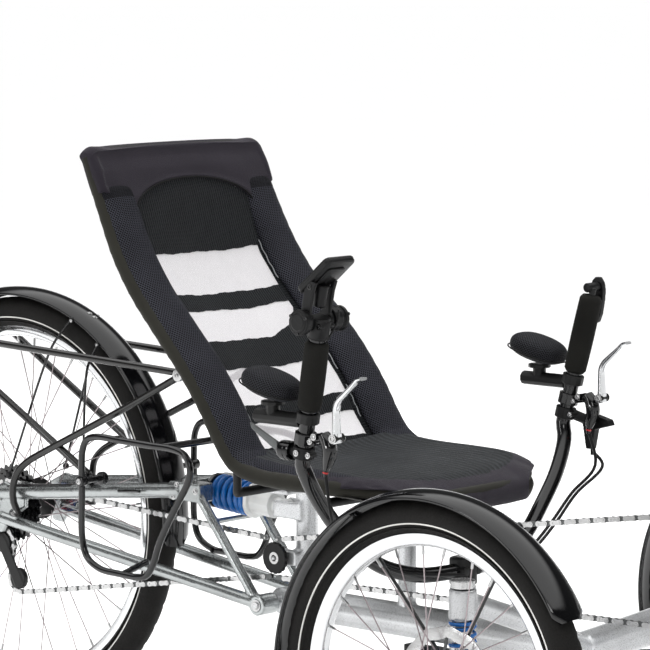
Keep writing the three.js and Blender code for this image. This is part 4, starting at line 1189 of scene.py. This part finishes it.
def lever(side, tag):
    """A forged lever blade with a raised rib, its tip curled forward."""
    piece = Piece(f"lever_blade_{tag}", f"brake_lever_{tag}", f"brake_lever_{tag}", slot="silver_alloy")
    curl = ((-926, 537), (-925.5, 552), (-925, 568), (-925, 582), (-929, 592), (-942, 604), (-956, 616),
            (-966, 625), (-973, 627))
    line = smooth_path(along_plane(side * 292, curl), 3)
    rows = []
    for i, (p, d) in enumerate(zip(line, directions(line))):
        s = i / (len(line) - 1)
        up = d.cross(X_AXIS)
        wide = 7.2 - 2.0 * math.sin(math.pi * s) + (0.8 if s > 0.9 else 0)
        thick = 5.6 - 3.2 * s
        ring = []
        for j, t in enumerate(angles(16)):
            rib = 0.9 if j in (3, 4, 5) and 0.1 < s < 0.92 else 0
            ring.append(p + X_AXIS * (rounded(math.cos(t), 0.7) * wide * MM)
                        + up * ((rounded(math.sin(t), 0.8) * thick + rib) * MM))
        rows.append(ring)
    piece.shell(rows, "polished")
    rod(piece, at(side * 292 - 9, -926, 542), at(side * 292 + 9, -926, 542), 5.5, "black_satin", 28)
    root = [(-931, 536), (-931, 549), (-921, 552), (-919, 540), (-923, 534)]
    plate(piece, root, 8, side * 292, "polished")
    piece.done(50)


def display_unit():
    """Rounded display housing with a bezel, a dark screen and a pair of arms."""
    piece = Piece("display_housing", "display", "display", slot="gloss_black")
    tilt = Matrix.Rotation(math.radians(-40), 3, "X")
    centre = at(-294, -908, 764)

    def slab(half_x, half_y, low, high, corner, material, round_by=1.6):
        rows = []
        for z, inset in ((low, round_by), (low + round_by * 0.4, round_by * 0.4), (low + round_by, 0),
                         (high - round_by, 0), (high - round_by * 0.4, round_by * 0.4), (high, round_by)):
            ring = []
            for cx, cy, start in ((1, 1, 0), (-1, 1, 90), (-1, -1, 180), (1, -1, 270)):
                for k in range(7):
                    t = math.radians(start + 15 * k)
                    ring.append((cx * (half_x - corner) + (corner - inset) * math.cos(t),
                                 cy * (half_y - corner) + (corner - inset) * math.sin(t)))
            rows.append([centre + tilt @ Vector((x * MM, y * MM, z * MM)) for x, y in ring])
        piece.shell(rows, material)

    slab(29, 36, -5.5, 4.6, 9, "plastic", 2.2)
    slab(29.4, 36.4, 0.4, 1.6, 9, "gloss", 0.5)
    slab(25, 29, 4.4, 5.4, 5, "glass", 0.4)
    slab(17, 22, -8.4, -5.2, 5, "plastic", 1.2)
    rod(piece, at(-298, -898, 719), at(-298, -905, 750), 9, "plastic", 24, 3)
    for x in (-318.5, -278):
        arm = along_plane(x, ((-893, 700), (-896, 722), (-900, 742), (-905, 756)))
        rows = []
        for i, (p, d) in enumerate(zip(arm, directions(arm))):
            up = d.cross(X_AXIS)
            rows.append([p + X_AXIS * (3.2 * MM * rounded(math.cos(t), 0.5))
                         + up * (8.5 * MM * rounded(math.sin(t), 0.6)) for t in angles(24)])
        piece.shell(rows, "plastic")
        spin(piece, [[6.9, -3.2], [13.2, -3.2], [14, -2.4], [14, 2.4], [13.2, 3.2], [6.9, 3.2]],
             at(x, -893, 700), "plastic", 48)
        bolt(piece, at(x + 3, -903, 748), (1, 0, 0), 2.6, 2, "black_metal")
        bolt(piece, at(x - 3, -903, 748), (-1, 0, 0), 2.6, 2, "black_metal")
    piece.done(45)


def holder_trim():
    """Stepped caps and screws on the two round housings of the display holder."""
    piece = Piece("holder_trim", "handlebar", slot="black_plastic")
    for outer, way in ((-334, -1), (-248, 1)):
        face = at(outer, -893, 700)
        cap = [[0.01, 2.2], [10.5, 2.2], [11.5, 1.2], [13.4, 1.0], [14.4, -0.6], [14.6, -1.4], [0.01, -1.4]]
        rim = [[16.8, -1.0], [17.7, -1.6], [17.9, -4], [17.7, -6.4], [16.8, -7.0]]
        spin(piece, cap, face, "plastic", 56, (way, 0, 0), closed=False)
        spin(piece, rim, face, "plastic", 64, (way, 0, 0))
        for t in angles(3):
            screw = around_axle(t + 0.6) * (15.4 * MM) + X_AXIS * (way * 0.4 * MM)
            bolt(piece, face + screw, (way, 0, 0), 1.6, 1.2, "black_metal")
    clamp_band(piece, -1, 679, 703, 15.6, "plastic")
    rod(piece, at(-312, -911, 694), at(-284, -911, 694), 4.2, "plastic", 20)
    bolt(piece, at(-312, -911, 694), (-1, 0, 0), 2.8, 2.4, "black_metal")
    rod(piece, at(-261, -893, 700), at(-248, -893, 700), 16, "plastic", 40, 3)
    tube(piece, [at(-284, -921, 716), at(-284, -922, 708), at(-287, -920, 696), at(-290, -913, 682),
                 at(-296, -904, 664)], 1.3, "plastic", 5, 10)
    piece.done(45)


def bell_unit():
    """Bell on its clamp with a domed cap and a tapering striker blade."""
    piece = Piece("bell_body", "handlebar", "bell", slot="black_plastic")
    clamp_band(piece, -1, 509, 525, 15, "plastic")
    rod(piece, at(-290, -850, 517), at(-290, -836, 517), 7, "plastic", 28)
    axis = Vector((0, 1, 0))
    dome = [[0.01, -1], [12.4, -1], [13.8, 0.6], [13.8, 5], [13.2, 5.6], [13.2, 7], [13.8, 7.6], [13.8, 15],
            [13, 18.6], [10, 21], [0.01, 22]]
    spin(piece, dome, at(-290, -842, 517), "gloss", 64, axis, closed=False)
    section = ((-1, -1), (-1.2, -0.4), (-1.2, 0.4), (-1, 1), (1, 1), (1.2, 0.4), (1.2, -0.4), (1, -1))
    rows = []
    for s in (0, 0.2, 0.4, 0.6, 0.8, 1.0):
        y, z = -822 + 52 * s, 519 + 27 * s
        tall = 9 * (1 - 0.55 * s)
        rows.append([at(-294 + dx * 2.2, y + dz * tall * 0.45, z + dz * tall) for dx, dz in section])
    piece.shell(rows, "dark_plate")
    bolt(piece, at(-304.4, -862, 517), (-1, 0, 0), 3, 2.6)
    piece.done(40)


def cable(name, node, side, forward, start):
    """A cable housing lashed along the bar down to the stem."""
    route = [start, at(side * (292 + forward), -914 - forward, 440), at(side * 258, -898 - forward, 402),
             at(side * 206, -902 - forward, 366), at(side * 146, -912 - forward, 338),
             at(side * 84, -924 - forward, 328), at(side * 34, -934 - forward, 322)]
    piece = Piece(name, "handlebar", node, slot="black_plastic")
    tube(piece, route, 2.4, "plastic", 6, 14)
    half = Vector((0, 0, 6 * MM))
    tube(piece, [route[0] + half, route[0] - half], 3.4, "black_metal", 6, 16)
    piece.done(60)


handlebar()
for side, tag, top in ((-1, "right", 672), (1, "left", 691)):
    grip(side, tag, top)
    brake_trim(side, tag)
    lever(side, tag)
    wrist_pad(side, tag)
display_unit()
holder_trim()
bell_unit()
cable("cable_right", "brake_cable_right", -1, 0, at(-290, -903, 493))
cable("cable_left", "brake_cable_left", 1, 0, at(290, -903, 493))
cable("cable_shift", "shift_cable", 1, 8, at(308, -897, 459))


# ---------------------------------------------------------------- seat

RAIL = [(176, -329, 893), (176, -342, 862), (178, -366, 812), (182, -399, 751), (185, -438, 699),
        (187, -485, 650), (188, -538, 595), (188, -580, 542), (188, -609, 497), (188, -636, 467),
        (188, -680, 454), (188, -740, 452), (188, -805, 452), (183, -850, 450), (164, -883, 447),
        (138, -907, 443), (100, -923, 439), (50, -930, 438), (0, -931, 438)]
rail = smooth_path([at(*p) for p in RAIL], 4)
side_view = [Vector((0, p.y, p.z)) for p in rail]
rail_way = directions(side_view)
ARCH_TOP, ARCH_SIDE, ARCH_HALF = 851, 802, 128


def rail_at(share):
    """A point on the left rail's centre line, by its share of the way from the top to the nose."""
    position = min(max(share, 0), 1) * (len(rail) - 1)
    k = min(int(position), len(rail) - 2)
    return rail[k].lerp(rail[k + 1], position - k)


def on_seat(share, x, lift):
    """A point on the seat: share along the rail line, x across, lifted towards the rider."""
    p = rail_at(share)
    k = min(int(share * (len(rail) - 1)), len(rail) - 2)
    d = rail_way[k].lerp(rail_way[k + 1], share * (len(rail) - 1) - k).normalized()
    towards_rider = Vector((0, d.z, -d.y))
    return Vector((x * MM, p.y, p.z)) + towards_rider * (lift * MM)


def share_at(y=None, z=None):
    """How far along the rail line a height (on the back) or a distance (on the base) is."""
    for k in range(len(rail) - 1):
        a, b = rail[k], rail[k + 1]
        value, goal = ((a.z, b.z), z * MM) if z is not None else ((a.y, b.y), y * MM + AXLE_Y)
        if value[0] >= goal > value[1]:
            return (k + (value[0] - goal) / (value[0] - value[1])) / (len(rail) - 1)
    return 0.0


def half_width(share):
    return rail_at(share).x / MM


def sleeve():
    """The cloth sleeve round the seat tube, from the head panel down, round the nose and up again."""
    piece = Piece("edge_sleeve", "frame", slot="panel_fabric")
    left = [rail_at(k / 120) for k in range(121)]
    path = [Vector((-p.x, p.y, p.z)) for p in left[:-1]] + left[::-1]
    nose = share_at(y=-846) / 2
    rows = tube_rows(path, lambda s: 8.4 if nose < min(s, 1 - s) else 11.2, 22, Vector((1, 0, 0)))
    for i, row in enumerate(rows):
        centre = path[i]
        rows[i] = [p + (p - centre) * (0.03 * math.sin(i * 2.1 + j)) for j, p in enumerate(row)]
    piece.shell(rows, "sleeve")
    piece.done(70)


def bolster(side, tag):
    """A padded side roll over the rail, run from the head panel down the back and onto the base."""
    piece = Piece(f"bolster_{tag}", "frame", f"seat_bolster_{tag}", slot="mesh_fabric")
    first, last = share_at(z=850), share_at(y=-704)
    rows, seam = [], []
    count, around = 90, 32
    for k in range(count + 1):
        part = k / count
        s = first + (last - first) * part
        outer = half_width(s) + 8.5
        inner = 117 + 5 * part
        middle, half = (outer + inner) / 2, (outer - inner) / 2
        fade = min(1.0, (1 - part) / 0.12)
        thick = 15.5 * math.sin(math.pi / 2 * min(1.0, part / 0.05 + 0.45)) * (0.3 + 0.7 * fade)
        ring = []
        for j, t in enumerate(angles(around)):
            a, b = math.cos(t), math.sin(t)
            across = rounded(a, 0.62) * half
            edge = max(0.0, a) ** 2 if side > 0 else max(0.0, -a) ** 2
            up = rounded(b, 0.8) * (thick if b > 0 else 5 + 4 * edge)
            ring.append(on_seat(s, side * middle + across, 3.5 - 3 * edge + up))
            if abs(a) > 0.97 or k in (0, count):
                seam.append(k * around + j)
        rows.append(ring)
    piece.shell(rows, lambda k, j: "band" if k < 4 else "spacer")
    made = piece.done(80)
    made.vertex_groups.new(name="seam").add(seam, 1.0, "REPLACE")
    stuffed(made, 5.0, 6.0)


def arch_height(x):
    """Height of the arched seam under the head panel."""
    if abs(x) >= ARCH_HALF:
        return ARCH_SIDE
    return ARCH_SIDE + (ARCH_TOP - ARCH_SIDE) * math.sqrt(1 - (x / ARCH_HALF) ** 2)


def head_lift(z):
    """How far the padded top stands proud of the rails at a height."""
    return 15 * min(1.0, max(0.0, (z - 740) / 90)) + 1


def head_panel():
    """The padded head cover: up from the arched seam, over the top tube and down behind."""
    piece = Piece("head_cover", "frame", "seat_head_panel", slot="panel_fabric")
    rows, seam = [], []
    columns, down, over, behind = 72, 16, 9, 12
    for i in range(columns + 1):
        x = 186 * math.sin(math.pi / 2 * (2 * i / columns - 1) * 0.94) / math.sin(math.pi / 2 * 0.94)
        edge = abs(x) / 186
        low = arch_height(x)
        if abs(x) > ARCH_HALF:
            low = 838 - 34 * max(0.0, (180 - abs(x)) / (180 - ARCH_HALF)) ** 0.9
        swell = math.sqrt(max(0.0, 1 - (max(0.0, edge - 0.93) / 0.075) ** 2))
        drop = 9 * max(0.0, (edge - 0.9) / 0.1) ** 2
        top = 899 - drop
        ring = []
        for k in range(down + 1):
            z = low + (top - low) * k / down
            part = k / down
            lift = head_lift(z) + 3 * math.sin(math.pi * part) - 4 * max(0.0, (z - 868) / 31)
            ring.append(on_seat(share_at(z=min(z, 892.9)), x, 1 + lift * (0.35 + 0.65 * swell))
                        + Vector((0, 0, max(0, z - 892.9) * MM)))
        front = ring[-1]
        centre = at(x, -327, top)
        spoke = front - centre
        for k in range(1, over + 1):
            t = math.pi * k / (over + 1)
            size = (spoke.length / MM * (1 - k / (over + 1)) + 10.5 * k / (over + 1)) * MM
            ring.append(centre + Vector((0, -math.cos(t) * size, math.sin(t) * min(size, 11 * MM))))
        for k in range(behind + 1):
            z = top - (top - low) * k / behind
            ring.append(on_seat(share_at(z=min(z, 892.9)), x, -10.5 * (0.5 + 0.5 * swell))
                        + Vector((0, 0, max(0, z - 892.9) * MM)))
        seam += [i * len(ring) + k for k in (0, down, len(ring) - 1)]
        if i in (0, columns):
            seam += [i * len(ring) + k for k in range(len(ring))]
        rows.append(ring)
    piece.shell(rows, "cover")
    made = piece.done(80)
    made.vertex_groups.new(name="seam").add(seam, 1.0, "REPLACE")
    stuffed(made, 2.0, 3.0)


def ragged(x, seed):
    """The slightly uneven cut edge of a backing strap."""
    slow, middling = 0.9 * math.sin(x * 0.05 + seed), 0.5 * math.sin(x * 0.17 + seed * 2)
    return slow + middling + 0.25 * math.sin(x * 0.5 + seed)


def back_sag(x, z):
    """How far the stretched back lies behind the rails' front: it hollows a little in the middle."""
    return head_lift(z) * 0.9 - 2.0 - 7 * math.cos(math.pi * x / 244) ** 2 * min(1, (846 - z) / 110)


def back_net():
    """The pale net across the whole back, stretched between the two bolsters."""
    piece = Piece("back_net", "frame", slot="mesh_fabric")
    columns = 40
    rows = []
    for k in range(101):
        z = 846 - (846 - 472) * k / 100
        rows.append([on_seat(share_at(z=z), x, back_sag(x, z) - 1.3)
                     for x in (-122 + 244 * i / columns for i in range(columns + 1))])
    piece.shell(rows, "net", around=False)
    piece.done(80)


def strap(piece, x_low, x_high, top, bottom, seed):
    """One backing strap: a thin band from edge to edge whose edges wander a little."""
    rows = []
    columns, rows_down = 60, 10
    for i in range(columns + 1):
        x = x_low + (x_high - x_low) * i / columns
        high, low = top(x) + ragged(x, seed), bottom(x) + ragged(x, seed + 1.7)
        heights = [high + (low - high) * k / rows_down for k in range(rows_down + 1)]
        line = [(z, back_sag(x, z)) for z in heights]
        ring = [on_seat(share_at(z=z), x, lift) for z, lift in line]
        ring += [on_seat(share_at(z=z), x, lift - 2.4) for z, lift in reversed(line)]
        rows.append(ring)
    piece.shell(rows, "dense")


def back_straps():
    """Dense mesh under the arch, and the straps between the open windows."""
    piece = Piece("back_straps", "frame", "seat_back_mesh", slot="mesh_fabric")
    edge = 122
    strap(piece, -edge, edge, lambda x: arch_height(x * 1.03) + 2, lambda x: 750, 0.4)
    strap(piece, -edge, edge, lambda x: 692, lambda x: 670, 1.3)
    strap(piece, -edge, edge, lambda x: 628 + 0.24 * max(0.0, x - 33) + 0.8 * max(0.0, x - 96),
          lambda x: 590, 2.2)
    strap(piece, -edge, edge, lambda x: 540, lambda x: 515, 3.1)
    strap(piece, -edge, edge, lambda x: 481, lambda x: 472, 4.6)
    for side in (-1, 1):
        rows = []
        for k in range(61):
            z = 800 - (800 - 474) * k / 60
            inner = 113.5 + 0.9 * math.sin(k * 0.45)
            lift = back_sag(120, z) + 0.3
            hem = ((inner, 0), (118, 0), (126, -1), (130, -1), (130, 2), (126, 2), (118, 2.4), (inner, 2.4))
            rows.append([on_seat(share_at(z=z), side * x, lift - d) for x, d in hem])
        piece.shell(rows, "dense")
    made = piece.done(50)


def seams():
    """Piping round the arch and down the edges, and the pale thread inside each bolster."""
    piece = Piece("seat_seams", "frame", slot="panel_fabric")
    arch = [on_seat(share_at(z=arch_height(x)), x, head_lift(arch_height(x)) + 0.6)
            for x in (ARCH_HALF * math.sin(math.radians(a)) for a in range(-90, 91, 5))]
    piece.shell(tube_rows(arch, 1.3, 10), "piping")
    top, foot = share_at(z=880), share_at(y=-700)
    for side in (-1, 1):
        edge = [on_seat(s, side * (half_width(s) + 8), 3.0)
                for s in (top + (foot - top) * k / 140 for k in range(141))]
        piece.shell(tube_rows(edge, 1.3, 10), "piping")
        for low, high in ((756, 700), (640, 570), (548, 502)):
            line = []
            for k in range(25):
                x = side * (115 + 0.8 * math.sin(k * 0.8))
                line.append(on_seat(share_at(z=low + (high - low) * k / 24), x, 3.0))
            piece.shell(tube_rows(line, 0.8, 8), "grey_thread")
    piece.done(60)


NOSE_PLAN = ((-630, 186), (-700, 193), (-805, 198), (-850, 197), (-883, 182), (-907, 160), (-923, 134),
             (-936, 110), (-950, 94))


def base_half(y):
    """Half the width of the base cushion at a distance from the axle."""
    for (y0, w0), (y1, w1) in zip(NOSE_PLAN, NOSE_PLAN[1:]):
        if y0 >= y > y1:
            return w0 + (w1 - w0) * (y0 - y) / (y0 - y1)
    return NOSE_PLAN[0][1] if y > NOSE_PLAN[0][0] else NOSE_PLAN[-1][1]


def base_cushion():
    """The seat base: ribbed mesh over foam, rolled down at the nose, with smooth cloth corners."""
    piece = Piece("seat_base", "frame", "seat_base_cushion", slot="mesh_fabric")
    columns = 72
    top_line = [(-636, 480), (-656, 472), (-690, 467.5), (-730, 466), (-780, 466.5), (-830, 466), (-870, 463),
                (-900, 459), (-922, 453), (-937, 444), (-944, 431), (-942, 419)]
    under_line = [(-934, 413), (-918, 416), (-900, 424), (-860, 434), (-800, 437), (-740, 437), (-690, 440),
                  (-660, 448), (-640, 462)]
    top_points = smooth_path([at(0, y, z) for y, z in top_line], 6)
    under_points = smooth_path([at(0, y, z) for y, z in under_line], 9)
    around = len(top_points) + len(under_points)
    rows, seam = [], []
    for i in range(columns + 1):
        a = math.sin(math.pi / 2 * (2 * i / columns - 1) * 0.9) / math.sin(math.pi / 2 * 0.9)
        edge = abs(a)
        roll = math.sqrt(max(0.0, 1 - (max(0.0, edge - 0.9) / 0.1) ** 2))
        ring = []
        for p in top_points + under_points:
            y, z = (p.y - AXLE_Y) / MM, p.z / MM
            rear = min(1.0, max(0.0, (-y - 640) / 200))
            front = min(1.0, max(0.0, (-y - 850) / 80))
            if z > 446:
                z += (6 * edge ** 2 * (1 - rear) - 4 * (1 - edge ** 2)) * (1 - 0.6 * front)
            thin = 0.3 + 0.42 * front
            z = 447 + (z - 447) * (thin + (1 - thin) * roll)
            ring.append(at(a * base_half(y), y, z))
        rows.append(ring)
        seam += [i * around, i * around + around - 1]
        if i in (0, columns):
            seam += [i * around + k for k in range(around)]

    def cloth_at(i, j):
        point = rows[min(i, columns)][j]
        x, forward = abs(point.x) / MM, (-(point.y - AXLE_Y) / MM - 758) / 152
        if j >= len(top_points):
            return "sleeve"
        wrap = max(0.0, forward) + max(0.0, 446 - point.z / MM) * 0.004
        if (x / 192) ** 2.5 + wrap ** 2.5 > 1.0 and forward > 0.05:
            return "cover"
        return "spacer" if x > 168 else "ribs"

    piece.shell(rows, cloth_at)
    made = piece.done(80)
    made.vertex_groups.new(name="seam").add(seam, 1.0, "REPLACE")
    stuffed(made, 3.5, 4.0)


sleeve()
for side, tag in SIDES:
    bolster(side, tag)
head_panel()
back_net()
back_straps()
seams()
base_cushion()


# ---------------------------------------------------------------- carried-over CAD nodes

for name, *how in (
        ("main_frame", "frame_paint", 2.4, 6), ("boom", "silver_tube", 2.2, 5),
        ("swing_arm", "silver_tube", 1.7, 6), ("seat_frame", "black_satin", 2.2, 4),
        ("shock_body", "pale_paint", 1.1, 4), ("shock_rod", "black_metal", 1.1, 3),
        ("derailleur", "black_satin", 1.0, 3), ("display_holder", "plastic", 0.9, 3),
        ("bar_end_shifter", "plastic", 0.9, 4), ("thumb_shifter", "plastic", 0.9, 4),
        *((f"knuckle_{tag}", "black_satin", 1.4, 3) for _, tag in SIDES),
        *((f"kingpin_{tag}", "steel", 1.2, 2, 0.5) for _, tag in SIDES),
        *((f"tie_rod_{tag}", "black_satin", 1.2, 2) for _, tag in SIDES),
        *((f"brake_bracket_{tag}", "black_metal", 0.8, 3) for _, tag in SIDES),
        *((f"wrist_pad_arm_{tag}", "black_satin", 0.9, 3) for _, tag in SIDES)):
    refine(name, *how)


# ---------------------------------------------------------------- stage

def floor():
    mesh = bpy.data.meshes.new("floor")
    corners = [(x * FLOOR_REACH, y * FLOOR_REACH, 0) for x, y in ((-1, -1), (1, -1), (1, 1), (-1, 1))]
    mesh.from_pydata(corners, [], [(0, 1, 2, 3)])
    s = Shader("pale_floor", 0.9, specular=0.1)
    s.colour(s.blend(s.noise(s.place(False), 3, 3), (0.955, 0.955, 0.955), (0.97, 0.97, 0.97)))
    mesh.materials.append(s.material)
    made = bpy.data.objects.new("floor", mesh)
    bpy.context.scene.collection.objects.link(made)


floor()
